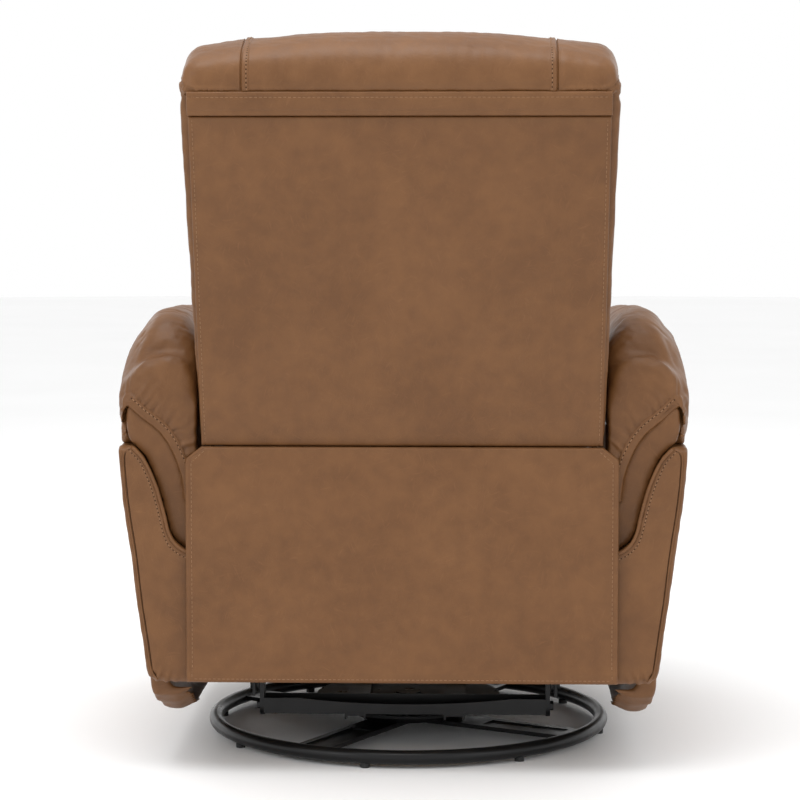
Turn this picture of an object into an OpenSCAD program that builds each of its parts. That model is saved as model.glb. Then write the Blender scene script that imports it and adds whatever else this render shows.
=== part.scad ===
// Swivel glider recliner. The chair faces -Y, its back is towards +Y.
// The floor is at z = 0 and the swivel turns about the z axis.

/* [Base ring] */
// Outer diameter of the ring on the floor
ring_d = 588; // [560:2:620]
// Diameter of the ring's tube
ring_tube_d = 20; // [18:1:22]
// Height of the small feet below the ring
foot_gap = 5; // [4:1:7]
// Diameter of a foot
foot_d = 13; // [11:1:16]
// Width of the flat bars that cross the ring
bar_w = 52; // [44:2:60]
// Thickness of the flat bars
bar_t = 6; // [5:1:7]

/* [Swivel] */
// Diameter of the round upper plate
swivel_plate_d = 270; // [250:2:280]
// Diameter of the lower dish at its rim
dish_d = 216; // [204:2:228]
// Height of the lower dish
dish_h = 16; // [14:1:20]
// Thickness of the swivel's sheet steel
swivel_t = 4; // [3:0.5:5]
// Diameter of a swivel ball
ball_d = 9; // [8:1:10]
// Diameter of the swivel's middle pin
swivel_pin_d = 20; // [16:1:24]

/* [Glider] */
// Length of the two cross channels
channel_l = 397; // [390:1:400]
// Width of a cross channel
channel_w = 38; // [34:1:42]
// Height of a cross channel
channel_h = 22; // [20:1:24]
// Distance from the swivel axis to each cross channel
glide_y = 170; // [165:1:175]
// Distance between the two pins of a glide link
link_l = 110; // [104:1:116]
// Height of the link's upper pins above the floor
link_top_z = 205; // [200:1:212]
// Thickness of an upright
upright_t = 6; // [5:0.5:6]
// Width of an upright
upright_w = 30; // [26:1:32]
// Diameter of a glide pivot pin
glide_pin_d = 12; // [10:1:14]

/* [Seat box] */
// Height of the underside of the seat cushion
seat_base_z = 402; // [400:1:408]
// Thickness of the seat cushion at its edges
seat_cushion_t = 80; // [70:1:85]
// Half the width of the seat cushion
seat_half_w = 271; // [262:1:272]
// Front of the seat cushion, forward of the swivel axis
seat_front = 425; // [418:1:428]
// Rear of the seat cushion, behind the swivel axis
seat_rear = 172; // [150:1:174]

/* [Arms] */
// Distance from the middle to the inner face of an arm
arm_in = 276; // [276:1:280]
// Width of an arm at its widest
arm_w = 109; // [106:1:116]
// Height of the arm's crest
arm_z = 631; // [620:1:640]
// Length of the arm in front of the swivel axis
arm_front = 400; // [394:1:404]
// Height of the top of the outer side panel
shield_z = 447; // [442:1:450]
// Lowest height of the outer side panel
shield_low_z = 60; // [56:1:68]

/* [Rear skirt] */
// Half the width of the skirt panel
skirt_half_w = 290; // [286:1:294]
// Height of the skirt's lower edge
skirt_low_z = 127; // [120:1:134]
// Height of the skirt's upper edge
skirt_top_z = 446.5; // [442:0.5:446.5]
// Thickness of the skirt panel
skirt_t = 9.5; // [8:0.5:12]

/* [Back] */
// Backward lean of the back at rest, in degrees
lean = 14; // [13:0.5:15]
// Half the width of the flat rear panel
rear_panel_half_w = 269; // [264:1:269]
// Thickness of the rear panel
rear_panel_t = 8; // [6:0.5:9]
// Length of the rear panel along the back
rear_panel_l = 449; // [440:1:455]
// Height of the header band above the rear panel
header_l = 32; // [28:1:36]
// Height of the head roll above the header band
roll_l = 67; // [60:1:74]
// Half the width of the head roll's middle panel
roll_half_w = 203; // [195:1:210]

/* [Footrest] */
// Half the width of the footrest board
foot_half_w = 262; // [250:1:264]
// Height of the footrest board
foot_h = 293; // [286:1:296]
// Thickness of the footrest pad
foot_pad_t = 26; // [20:1:28]
// Distance between the pins of a lift link
lift_l = 168; // [166:1:170]

/* [Hidden] */

// Shared clearances and resolutions
pin_fit = 0.05;
rest_gap = 0.3;
soft_gap = 0.5;
overrun = 1;
$fn = 48;

// Base heights
ring_z = foot_gap + ring_tube_d / 2;
ring_r = (ring_d - ring_tube_d) / 2;
foot_count = 8;
foot_turn = 79.5;
foot_grip_share = 0.3;
bar_turn = 61;
bar_groove_share = 0.62;
bar_groove_depth = 1.6;
bar_top_z = ring_z + bar_t / 2;
dish_foot_share = 0.72;
dish_rim_w = 26;
rim_z = bar_top_z + dish_h;
race_r = dish_d / 2 - dish_rim_w / 2;
ball_count = 20;
ball_z = rim_z + ball_d / 2;
plate_z = rim_z + ball_d + pin_fit;
cage_t = 2;
cage_w = 16;
pin_head_d = 38;
pin_head_t = 3;

// Glider heights
rail_x = 70;
rail_w = 30;
rail_h = 8;
steel_t = 3;
rail_z = plate_z + swivel_t;
channel_z = rail_z + rail_h;
channel_dip = 8;
channel_dip_half_w = 150;
upright_x = channel_l / 2;
upright_low_z = 50;
link_t = 4;
link_w = 24;
link_x = upright_x + upright_t + overrun;
link_low_z = link_top_z - link_l;
carriage_t = 4;
carriage_x = link_x + link_t + overrun;
carriage_low_z = 80;
carriage_foot_h = 30;
carriage_half_l = 188;
carriage_mid_half_l = 110;
tube_s = 25;
tube_z = 140;
tube_y = 85;
tube_wall = 2.5;
bolt_z = 62;
bolt_d = 8;
bolt_head_d = 13.5;
bolt_head_t = 5;
nut_t = 5;

// Seat mechanism
track_x = 150;
track_w = 24;
track_h = 16;
track_z = tube_z + tube_s;
track_front = 215;
track_rear = 195;
runner_w = 30;
runner_h = 12;
runner_z = track_z + track_h + rest_gap;
runner_front = 205;
runner_rear = 185;
strut_w = 34;
strut_t = 5;
strut_front_y = 115;
strut_rear_y = 75;
strut_ys = [-strut_front_y, strut_rear_y];
wood_t = 30;
side_rail_out = 260.5;
side_rail_in = 236;
frame_front = 395;
frame_rear = 195;
spring_wire = 4;
frame_z = seat_base_z - spring_wire - wood_t;
under_rail_h = 26;
under_rail_z = frame_z - under_rail_h;
seat_spring_step = 110;
seat_spring_xs = [for (i = [-1.5:1.5]) i * seat_spring_step];
spring_amp = 24;
spring_runs = 14;

// Recline hinge, on the seat's side plates
hinge_y = 242;
hinge_z = 430;
hinge_pin_d = 10;
hinge_eye_d = 28;
seat_plate_x = side_rail_out;
seat_plate_t = 4;
plate_step = 4.5;
back_plate_x = side_rail_out - plate_step;
back_plate_t = 4;

// Rear face of the back at its lower edge, where the back's own frame starts
back_y = 321.5;
back_z = 448;
hinge_t = (back_y - hinge_y) * cos(lean) - (back_z - hinge_z) * sin(lean);
hinge_drop = (back_y - hinge_y) * sin(lean) + (back_z - hinge_z) * cos(lean);

// Tables of shares for the soft forms
arm_body_shares = [
  [0.991, 0], [1, 0.12], [1, 0.3], [0.998, 0.42], [0.972, 0.516], [0.936, 0.603],
  [0.885, 0.7], [0.835, 0.79], [0.765, 0.875], [0.67, 0.95], [0.54, 0.993],
  [0.4, 1], [0.2, 0.965], [0.06, 0.88], [0, 0.776]
];
arm_station_shares = [
  [-0.968, 0.5], [-0.956, 0.66], [-0.925, 0.78], [-0.85, 0.86], [-0.7, 0.895], [-0.375, 0.93],
  [0, 0.965], [0.25, 0.99], [0.5, 1], [0.6, 0.97], [0.65, 0.915], [0.69, 0.835], [0.7125, 0.76]
];
side_out_shares = [
  [0.33, 0], [0.45, 0.004], [0.545, 0.026], [0.595, 0.06], [0.628, 0.105], [0.658, 0.194],
  [0.692, 0.279], [0.733, 0.364], [0.778, 0.45], [0.81, 0.535], [0.845, 0.62], [0.89, 0.705],
  [0.935, 0.79], [0.97, 0.885], [1, 1]
];
side_station_shares = [
  [-0.95, 0.1], [-0.8, 0.04], [-0.5, 0], [0, 0], [0.4, 0], [0.55, 0.02], [0.65, 0.07], [0.7125, 0.11]
];
seam_shares = [
  [0.86, 0.32], [0.706, 0.235], [0.477, 0.126], [0.339, 0.022], [0.229, -0.12],
  [0.165, -0.251], [0.138, -0.404]
];
welt_shares = [
  [0.798, 0], [0.67, -0.082], [0.587, -0.186], [0.514, -0.295], [0.45, -0.426],
  [0.404, -0.546], [0.358, -0.65], [0.294, -0.716], [0.183, -0.765], [0.147, -0.781]
];
arm_rise = arm_z - shield_z;
arm_base_rise = 23;
arm_base_z = shield_z + arm_base_rise;
arm_lip_shares = [0.676, 0.706, 0.96];
arm_skin_share = 0.02;
arm_inner_share = 0.3;
arm_rear = 285;
roll_rear = 312;
band_rear = 306;
wrap_rear = 318;
side_t = 26;
side_foot_z = 124;
side_h = shield_z - shield_low_z;
inner_panel_t = 12;
board_x = arm_in + inner_panel_t;
board_t = 14;
board_rise = 5;
board_z = tube_z + board_rise;
arm_box_share = 0.95;
arm_box_front = arm_front * arm_box_share;

// Triangles that cover a flat outline just once, cut off one ear at a time
function spin(p, up, t) = cross(p[t[1]] - p[t[0]], p[t[2]] - p[t[0]]) * up;
function within(p, up, t, q) = min([for (i = [0:2]) spin(p, up, [t[i], t[(i + 1) % 3], q])]) >= 0;
function corner(left, i) = let (m = len(left)) [left[(i + m - 1) % m], left[i], left[(i + 1) % m]];
function ears(p, up, left) = let (
  m = len(left),
  free = [
    for (i = [0:m - 1]) let (t = corner(left, i))
      if (spin(p, up, t) > 0 && max([
        for (q = left) q != t[0] && q != t[1] && q != t[2] && within(p, up, t, q) ? 1 : 0
      ]) == 0) i
  ],
  k = free[0]
)
  m == 3 ? [left] : concat([corner(left, k)], ears(p, up, [for (i = [0:m - 1]) if (i != k) left[i]]));
function covered(p) = let (n = len(p), turns = [for (i = [0:n - 1]) cross(p[i], p[(i + 1) % n])])
  ears(p, [for (k = [0:2]) total([for (t = turns) t[k]])], [for (i = [0:n - 1]) i]);

// One closed skin through rings of equal count, capped at both ends, where folded rings are
// flat but may turn inwards. Each ring runs anticlockwise as seen from beyond the last ring.
module loft(rings, folded = false) {
  n = len(rings[0]);
  m = len(rings);
  points = [for (r = rings) each r];
  first = [for (k = [0:2]) mean([for (p = rings[0]) p[k]])];
  last = [for (k = [0:2]) mean([for (p = rings[m - 1]) p[k]])];
  sides = [
    for (i = [0:m - 2], j = [0:n - 1]) let (a = i * n + j, b = i * n + (j + 1) % n)
      each [[a, a + n, b + n], [a, b + n, b]]
  ];
  caps = folded
    ? concat(covered(rings[0]), [for (t = covered(rings[m - 1])) [for (q = turned(t)) (m - 1) * n + q]])
    : [
      for (j = [0:n - 1]) let (k = (j + 1) % n)
        each [[n * m, j, k], [n * m + 1, (m - 1) * n + k, (m - 1) * n + j]]
    ];
  ends = folded ? [] : [first, last];
  polyhedron(points = concat(points, ends), faces = concat(sides, caps), convexity = 8);
}
function total(v, i = 0) = i == len(v) ? 0 : v[i] + total(v, i + 1);
function mean(v) = total(v) / len(v);
function turned(v) = [for (i = [len(v) - 1:-1:0]) v[i]];

// Signed power, for rounded rectangles
function spow(v, e) = sign(v) * pow(abs(v), e);

// A cushion of half sizes a, b, c: crowned on top, drawn in between its corners,
// with sewn channels across it at the given shares of its length
channel_width_share = 0.035;
cushion_stations = 12;
cushion_points = 28;
cushion_edge = 4;
cushion_end_share = 0.3;
cushion_taper_share = 0.1;
cushion_draw_share = 0.02;
channel_cut = 7;
module cushion(a, b, c, crown, draw, channels = [], channel_depth = 0) {
  rings = [
    for (i = [0:cushion_stations]) let (
      u = sin(-90 + 180 * i / cushion_stations),
      e = pow(max(0, 1 - pow(abs(u), cushion_edge)), 1 / cushion_edge),
      s = max(e, cushion_end_share)
    )
      [for (j = [0:cushion_points - 1]) let (
        t = 360 * (j + 0.5) / cushion_points,
        v = spow(cos(t), 2 / cushion_edge) * (1 - cushion_taper_share * (1 - s)),
        w = spow(sin(t), 2 / cushion_edge) * s,
        up = w > 0 ? 1 : 0,
        hump = up * crown * (1 - u * u) * (1 - v * v),
        dent = up * channel_depth * total([for (g = channels) exp(-pow((v - g) / channel_width_share, 2))])
      )
        [
          a * u * (1 - draw * (1 - v * v)),
          b * v * (1 - draw * (1 - u * u)),
          c * w + hump - dent * e
        ]]
  ];
  loft(rings);
}

// A flat upholstered piece with rounded edges: an outline in x and z, y from front to rear
edge_shares = [[0, 0.97], [0.25, 1], [0.7, 1], [0.92, 0.985], [1, 0.955]];
module padded_outline(outline, front, rear) {
  cx = mean([for (p = outline) p[0]]);
  cz = mean([for (p = outline) p[1]]);
  loft([
    for (s = turned(edge_shares))
      [for (p = outline) [cx + (p[0] - cx) * s[1], front + (rear - front) * s[0], cz + (p[1] - cz) * s[1]]]
  ], folded = true);
}

// A flat steel link in the y-z plane between two pin holes, from x to x + t,
// a little narrower between its round ends
link_waist = 1.5;
module link(x, t, w, d, from, to) {
  run = to - from;
  l = norm(run);
  bar_w = w - 2 * link_waist;
  translate([x, from[0], from[1]]) rotate([atan2(run[1], run[0]), 0, 0]) rotate([90, 0, 90])
    linear_extrude(t) difference() {
      union() {
        for (u = [0, l]) translate([u, 0]) circle(d = w);
        translate([0, -bar_w / 2]) square([l, bar_w]);
      }
      for (u = [0, l]) translate([u, 0]) circle(d = d + 2 * pin_fit);
    }
}
module pin_along_x(x, l, d, p) {
  translate([x, p[0], p[1]]) rotate([0, 90, 0]) cylinder(h = l, d = d);
}
module both_sides() {
  children();
  mirror([1, 0, 0]) children();
}
module front_and_rear() {
  children();
  mirror([0, 1, 0]) children();
}

// Base
module base_ring() {
  color("#1b1b1c") translate([0, 0, ring_z]) rotate_extrude($fn = 96)
    translate([ring_r, 0]) circle(d = ring_tube_d);
}

module cross_bars() {
  color("#1b1b1c") difference() {
    for (turn = [0, 90]) rotate([0, 0, bar_turn + turn]) difference() {
      translate([-ring_r, -bar_w / 2, ring_z - bar_t / 2]) cube([2 * ring_r, bar_w, bar_t]);
      for (side = [-1, 1]) translate([side * (ring_r + dish_d / 2) / 2, 0, bar_top_z])
        cube([ring_r - dish_d / 2 - bar_w, bar_w * bar_groove_share, 2 * bar_groove_depth], center = true);
    }
    translate([0, 0, ring_z]) rotate_extrude($fn = 96) translate([ring_r, 0]) circle(d = ring_tube_d);
  }
}

module base_feet() {
  color("#101010") for (i = [0:foot_count - 1])
    rotate([0, 0, foot_turn + i * 360 / foot_count]) difference() {
      translate([ring_r, 0, 0]) cylinder(h = foot_gap + ring_tube_d * foot_grip_share, d = foot_d);
      translate([ring_r, 0, ring_z]) rotate([90, 0, 0])
        cylinder(h = 2 * foot_d, d = ring_tube_d + 2 * pin_fit, center = true);
    }
}

// Swivel
module swivel_dish() {
  foot_r = dish_d / 2 * dish_foot_share;
  rim_in = dish_d / 2 - dish_rim_w;
  color("#161617") translate([0, 0, bar_top_z]) rotate_extrude($fn = 96) polygon([
    [swivel_pin_d / 2 + pin_fit, 0], [foot_r, 0], [rim_in + swivel_t, dish_h - swivel_t],
    [dish_d / 2, dish_h - swivel_t], [dish_d / 2, dish_h], [rim_in, dish_h],
    [foot_r - swivel_t, swivel_t], [swivel_pin_d / 2 + pin_fit, swivel_t]
  ]);
}

module swivel_balls() {
  color("silver") for (i = [0:ball_count - 1]) rotate([0, 0, i * 360 / ball_count])
    translate([race_r, 0, ball_z]) sphere(d = ball_d, $fn = 32);
}

module swivel_ball_cage() {
  color("#3a3a3a") translate([0, 0, ball_z - cage_t / 2]) difference() {
    cylinder(h = cage_t, r = race_r + cage_w / 2);
    translate([0, 0, -overrun]) cylinder(h = cage_t + 2 * overrun, r = race_r - cage_w / 2);
    for (i = [0:ball_count - 1]) rotate([0, 0, i * 360 / ball_count])
      translate([race_r, 0, -overrun]) cylinder(h = cage_t + 2 * overrun, d = ball_d + 2 * rest_gap);
  }
}

module swivel_pin() {
  head_z = plate_z + swivel_t + rest_gap;
  color("#202021") {
    translate([0, 0, bar_top_z]) cylinder(h = head_z - bar_top_z + overrun, d = swivel_pin_d);
    translate([0, 0, head_z]) cylinder(h = pin_head_t, d = pin_head_d);
  }
}

module swivel_plate() {
  color("#161617") translate([0, 0, plate_z]) difference() {
    cylinder(h = swivel_t, d = swivel_plate_d, $fn = 96);
    translate([0, 0, -overrun])
      cylinder(h = swivel_t + 2 * overrun, d = swivel_pin_d + 2 * pin_fit);
  }
}

// Glider frame, which turns on the swivel
module glider_rails() {
  half_l = glide_y + channel_w / 2;
  color("#1b1b1c") both_sides() translate([rail_x - rail_w / 2, -half_l, rail_z]) difference() {
    cube([rail_w, 2 * half_l, rail_h]);
    translate([steel_t, -overrun, -overrun])
      cube([rail_w - 2 * steel_t, 2 * half_l + 2 * overrun, rail_h - steel_t + overrun]);
  }
}

module cross_channels() {
  dip_r = (pow(channel_dip_half_w, 2) + pow(channel_dip, 2)) / (2 * channel_dip);
  color("#1b1b1c") front_and_rear() translate([0, glide_y, channel_z]) difference() {
    translate([-channel_l / 2, -channel_w / 2, 0]) cube([channel_l, channel_w, channel_h]);
    translate([-channel_l / 2 - overrun, steel_t - channel_w / 2, steel_t])
      cube([channel_l + 2 * overrun, channel_w - 2 * steel_t, channel_h]);
    translate([0, channel_w / 2 + overrun, channel_h + dip_r - channel_dip]) rotate([90, 0, 0])
      cylinder(h = steel_t + 2 * overrun, r = dip_r, $fn = 200);
  }
}

module glider_uprights() {
  tip_z = upright_low_z + upright_w / 2;
  color("#161617") both_sides() front_and_rear() difference() {
    union() {
      translate([upright_x, glide_y - upright_w / 2, tip_z])
        cube([upright_t, upright_w, link_top_z - tip_z]);
      for (z = [tip_z, link_top_z]) pin_along_x(upright_x, upright_t, upright_w, [glide_y, z]);
    }
    pin_along_x(upright_x - overrun, upright_t + 2 * overrun, glide_pin_d + 2 * pin_fit,
      [glide_y, link_top_z]);
    pin_along_x(upright_x - overrun, upright_t + 2 * overrun, bolt_d + 2 * pin_fit,
      [glide_y, tip_z]);
  }
}

module frame_bolts() {
  tip_z = upright_low_z + upright_w / 2;
  color("#2a2a2b") both_sides() front_and_rear() {
    pin_along_x(upright_x - nut_t - overrun, upright_t + nut_t + 2 * overrun, bolt_d,
      [glide_y, tip_z]);
    translate([upright_x + upright_t, glide_y, tip_z]) rotate([0, 90, 0])
      cylinder(h = bolt_head_t, d = bolt_head_d, $fn = 6);
    translate([upright_x - nut_t, glide_y, tip_z]) rotate([0, 90, 0])
      cylinder(h = nut_t, d = bolt_head_d, $fn = 6);
  }
}

// The pins that the links hang from, fixed in the uprights
module upper_glide_pins() {
  color("silver") both_sides() front_and_rear() {
    pin_along_x(upright_x - nut_t, carriage_x + carriage_t - upright_x + nut_t, glide_pin_d,
      [glide_y, link_top_z]);
    pin_along_x(upright_x - nut_t, nut_t, glide_pin_d + 2 * nut_t, [glide_y, link_top_z]);
    pin_along_x(link_x + link_t + rest_gap, steel_t, glide_pin_d + 2 * steel_t,
      [glide_y, link_top_z]);
  }
}

module glide_links(side) {
  color("#1b1b1c") both_sides() {
    difference() {
      link(link_x, link_t, link_w, glide_pin_d, [side * glide_y, link_low_z],
        [side * glide_y, link_top_z]);
      pin_along_x(link_x - overrun, link_t + 2 * overrun, glide_pin_d + 2 * pin_fit,
        [side * glide_y, link_low_z]);
    }
    pin_along_x(link_x + link_t - overrun, carriage_t + 3 * overrun, glide_pin_d,
      [side * glide_y, link_low_z]);
    pin_along_x(link_x, link_t, glide_pin_d + 2 * overrun, [side * glide_y, link_low_z]);
    pin_along_x(carriage_x + carriage_t + overrun, steel_t, glide_pin_d + 2 * steel_t,
      [side * glide_y, link_low_z]);
  }
}
module front_glide_links() { glide_links(-1); }
module rear_glide_links() { glide_links(1); }

// Chair carriage, which the links carry
module carriage_plates() {
  top_z = tube_z + tube_s;
  color("#1b1b1c") both_sides() difference() {
    translate([carriage_x, 0, 0]) rotate([90, 0, 90]) linear_extrude(carriage_t) polygon([
      [-carriage_half_l, carriage_low_z], [carriage_half_l, carriage_low_z],
      [carriage_half_l, carriage_low_z + carriage_foot_h],
      [carriage_mid_half_l, top_z], [-carriage_mid_half_l, top_z],
      [-carriage_half_l, carriage_low_z + carriage_foot_h]
    ]);
    for (side = [-1, 1]) {
      pin_along_x(carriage_x - overrun, carriage_t + 2 * overrun, glide_pin_d + 2 * pin_fit,
        [side * glide_y, link_low_z]);
      translate([carriage_x - overrun, side * tube_y - tube_s / 2, tube_z])
        cube([carriage_t + 2 * overrun, tube_s, tube_s + overrun]);
    }
  }
}

module carriage_tubes() {
  end = cable_points[len(cable_points) - 1];
  y0 = end[1] - cable_bracket_w / 2;
  color("#1b1b1c") translate([end[0] - cable_bracket_w / 2, y0, tube_z])
    cube([cable_bracket_w, tube_y - tube_s / 2 - y0 + tube_wall / 2, cable_bracket_t]);
  color("#1b1b1c") front_and_rear() translate([-board_x, tube_y - tube_s / 2, tube_z]) difference() {
    cube([2 * board_x, tube_s, tube_s]);
    translate([-overrun, tube_wall, tube_wall])
      cube([2 * board_x + 2 * overrun, tube_s - 2 * tube_wall, tube_s - 2 * tube_wall]);
  }
}

module seat_tracks() {
  color("#242425") both_sides() translate([track_x - track_w / 2, -track_front, track_z])
    cube([track_w, track_front + track_rear, track_h]);
}

// The thin release cable, sagging between the arm and its anchor
cable_d = 3;
cable_points = [
  [-281, -200, 299.4], [-281, -190, 262], [-277, -160, 225], [-266, -110, 200], [-250, -60, 186],
  [-228, -25, 177], [-205, 0, 172], [-186, 15, 158], [-170, 25, 135], [-145, 32, 116],
  [-110, 37, 106], [-70, 40, 101], [-35, 40, 95], [-9, 40, 87], [12, 40, 77], [33, 40, 72],
  [55, 40, 77], [76, 41, 90], [92, 43, 108], [100, 45, 126], [101, 45, 139.6]
];
cable_sides = 8;
cable_side = [0.3, 1, 0.2];
cable_steps = 4;
cable_bracket_t = 3;
cable_bracket_w = 26;
// Points on one smooth curve through the given points, k between each two
function smooth(p, k) = let (n = len(p)) [
  for (i = [0:n - 2], j = [0:k - 1]) let (
    a = p[max(i - 1, 0)],
    b = p[i],
    c = p[i + 1],
    d = p[min(i + 2, n - 1)],
    u = j / k
  )
    (2 * b + (c - a) * u + (2 * a - 5 * b + 4 * c - d) * u * u + (3 * b - a - 3 * c + d) * u * u * u) / 2,
  p[n - 1]
];
module release_cable() {
  route = smooth(cable_points, cable_steps);
  n = len(route);
  color("#151515") loft([
    for (i = [0:n - 1]) let (
      here = route[i],
      ahead = route[min(i + 1, n - 1)],
      behind = route[max(i - 1, 0)],
      t = (ahead - behind) / norm(ahead - behind),
      side = cross(t, cable_side),
      e = side / norm(side),
      f = cross(t, e)
    )
      [for (j = [0:cable_sides - 1]) let (q = 360 * j / cable_sides)
        here + cable_d / 2 * (cos(q) * e + sin(q) * f)]
  ]);
}

// Wooden rails across the rear of the seat box, and the board behind the skirt panel
rail_rear_y = 258;
rail_depth = 26;
rear_rail_h = 30;
rear_rail_zs = [146, 360];
skirt_y = 322;
skirt_board_t = 13;
skirt_board_top_z = 420;
skirt_chamfer_w = 21;
skirt_chamfer_h = 17;
module rear_rails() {
  spacer_l = skirt_y - skirt_board_t - rest_gap - rail_rear_y - rail_depth;
  color("burlywood") for (z = rear_rail_zs) {
    translate([-board_x, rail_rear_y, z]) cube([2 * board_x, rail_depth, rear_rail_h]);
    for (side = [-1, 0, 1]) translate([side * roll_half_w - wood_t / 2, rail_rear_y, z])
      cube([wood_t, rail_depth + spacer_l, rear_rail_h]);
  }
}

module skirt_board() {
  color("burlywood")
    translate([soft_gap - arm_in, skirt_y - skirt_board_t - rest_gap, skirt_low_z + skirt_chamfer_h / 2])
      cube([2 * (arm_in - soft_gap), skirt_board_t, skirt_board_top_z - skirt_low_z - skirt_chamfer_h / 2]);
}

module skirt_panel() {
  color("#8b6545") translate([0, skirt_y + skirt_t, 0]) rotate([90, 0, 0]) linear_extrude(skirt_t)
    polygon([
      [-skirt_half_w, skirt_low_z], [skirt_half_w, skirt_low_z],
      [skirt_half_w, skirt_top_z - skirt_chamfer_h],
      [skirt_half_w - skirt_chamfer_w, skirt_top_z], [skirt_chamfer_w - skirt_half_w, skirt_top_z],
      [-skirt_half_w, skirt_top_z - skirt_chamfer_h]
    ]);
}

// Arms. Every arm piece is drawn for the left arm, at positive x, and mirrored for the right.
function arm_x(share) = arm_in + arm_w * share;
post_top_share = 0.45;
module arm_frame() {
  color("burlywood") {
    translate([board_x, -arm_box_front, board_z])
      cube([board_t, arm_box_front + arm_rear, shield_z - board_z]);
    translate([board_x, -arm_box_front, shield_z - overrun])
      cube([arm_w * post_top_share, arm_box_front + arm_rear, arm_base_rise + overrun - rest_gap]);
  }
}

module arm_pad() {
  base = [
    [0, arm_base_z], [arm_lip_shares[0], arm_base_z], [arm_lip_shares[1], shield_z + soft_gap],
    [arm_lip_shares[2], shield_z + soft_gap]
  ];
  color("#8f6a49") loft([
    for (s = turned(arm_station_shares)) let (crest = shield_z + arm_rise * s[1]) concat(
      [for (p = base) [arm_x(p[0]), arm_front * s[0], p[1]]],
      [for (p = arm_body_shares) let (
        z = shield_z + (crest - shield_z) * max(p[1], arm_skin_share)
      )
        [arm_x(p[0]), arm_front * s[0], p[0] < arm_inner_share ? max(z, arm_base_z + overrun) : z]]
    )
  ]);
}

roll_top_shares = [
  [0.01, -0.38], [0, 0.5], [0.1, 0.63], [0.34, 0.7], [0.62, 0.69], [0.8, 0.61], [0.92, 0.48],
  [0.965, 0.34], [0.972, 0.2], [0.955, 0.1], [0.925, 0.05], [0.9, 0.06], [0.913, 0.12],
  [0.917, 0.2], [0.9, 0.28]
];
module arm_rear_roll() {
  outline = concat(
    [for (p = turned(seam_shares)) [arm_x(p[0]), shield_z + arm_rise * p[1]]],
    [for (p = turned(roll_top_shares)) [arm_x(p[0]), shield_z + arm_rise * p[1]]]
  );
  color("#8f6a49") padded_outline(outline, arm_rear + rest_gap, roll_rear);
}

band_gap = 2.2;
band_inner_share = 0.01;
band_end_shares = [[0.835, 0.03], [0.87, 0.1], [0.882, 0.19], [0.872, 0.265]];
band_low_share = -0.43;
welt_low_share = -0.781;
module arm_rear_band() {
  outline = concat(
    [for (p = turned(welt_shares)) [arm_x(p[0]) - band_gap, shield_z + arm_rise * p[1] + band_gap]],
    [for (p = band_end_shares) [arm_x(p[0]), shield_z + arm_rise * p[1]]],
    [for (p = seam_shares) [arm_x(p[0]) + band_gap, shield_z + arm_rise * p[1] - band_gap]],
    [
      [arm_x(band_inner_share), shield_z + arm_rise * band_low_share],
      [arm_x(band_inner_share), shield_z + arm_rise * welt_low_share + band_gap]
    ]
  );
  color("#8a6444") padded_outline(outline, arm_rear + rest_gap, band_rear);
}

side_foot_share = 0.03;
wrap_foot_shares = [0.03, 0.56];
wrap_start = 5;
module arm_side_panel() {
  inner = [for (p = turned(side_out_shares)) [arm_x(p[0]) - side_t, max(p[1], side_foot_share)]];
  color("#8b6545") {
    loft([
      for (s = turned(side_station_shares)) concat(
        [for (p = inner)
          [p[0], arm_front * s[0], shield_low_z + side_h * max(p[1], s[1] + side_foot_share)]],
        [for (p = side_out_shares)
          [arm_x(p[0]), arm_front * s[0], shield_low_z + side_h * max(p[1], s[1])]]
      )
    ], folded = true);
    padded_outline(concat(
      [for (p = welt_shares) [arm_x(p[0]), shield_z + arm_rise * p[1]]],
      [
        [arm_x(wrap_foot_shares[0]), shield_z + arm_rise * welt_low_share],
        [arm_x(wrap_foot_shares[0]), side_foot_z], [arm_x(wrap_foot_shares[1]), side_foot_z]
      ],
      [for (i = [wrap_start:len(side_out_shares) - 1])
        [arm_x(side_out_shares[i][0]), shield_low_z + side_h * side_out_shares[i][1]]]
    ), arm_rear + rest_gap, wrap_rear);
  }
}

front_t = 12;
front_shares = [
  [0.02, -0.9], [0.02, -1.6], [0.5, -1.7], [0.66, -1.6], [0.71, -1.3], [0.76, -1], [0.82, -0.7],
  [0.89, -0.4], [0.94, -0.15], [0.96, 0.1], [0.92, 0.35], [0.8, 0.55], [0.6, 0.68], [0.4, 0.72], [0.2, 0.66],
  [0.06, 0.5], [0.02, 0.2], [0.02, -0.3]
];
module arm_front_panel() {
  outline = [for (p = front_shares) [arm_x(p[0]), shield_z + arm_rise * p[1]]];
  color("#8f6a49") mirror([0, 1, 0]) padded_outline(outline, arm_front - front_t, arm_front);
}

inner_low_z = 300;
module arm_inner_panel() {
  color("#8f6a49") translate([arm_in, -arm_box_front, inner_low_z])
    cube([
      inner_panel_t - rest_gap, arm_box_front + rail_rear_y - soft_gap,
      arm_base_z - inner_low_z - rest_gap
    ]);
}

module left_arm_frame() { arm_frame(); }
module left_arm_pad() { arm_pad(); }
module left_arm_rear_roll() { arm_rear_roll(); }
module left_arm_rear_band() { arm_rear_band(); }
module left_arm_side_panel() { arm_side_panel(); }
module left_arm_front_panel() { arm_front_panel(); }
module left_arm_inner_panel() { arm_inner_panel(); }
module right_arm_frame() { mirror([1, 0, 0]) arm_frame(); }
module right_arm_pad() { mirror([1, 0, 0]) arm_pad(); }
module right_arm_rear_roll() { mirror([1, 0, 0]) arm_rear_roll(); }
module right_arm_rear_band() { mirror([1, 0, 0]) arm_rear_band(); }
module right_arm_side_panel() { mirror([1, 0, 0]) arm_side_panel(); }
module right_arm_front_panel() { mirror([1, 0, 0]) arm_front_panel(); }
module right_arm_inner_panel() { mirror([1, 0, 0]) arm_inner_panel(); }

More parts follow.
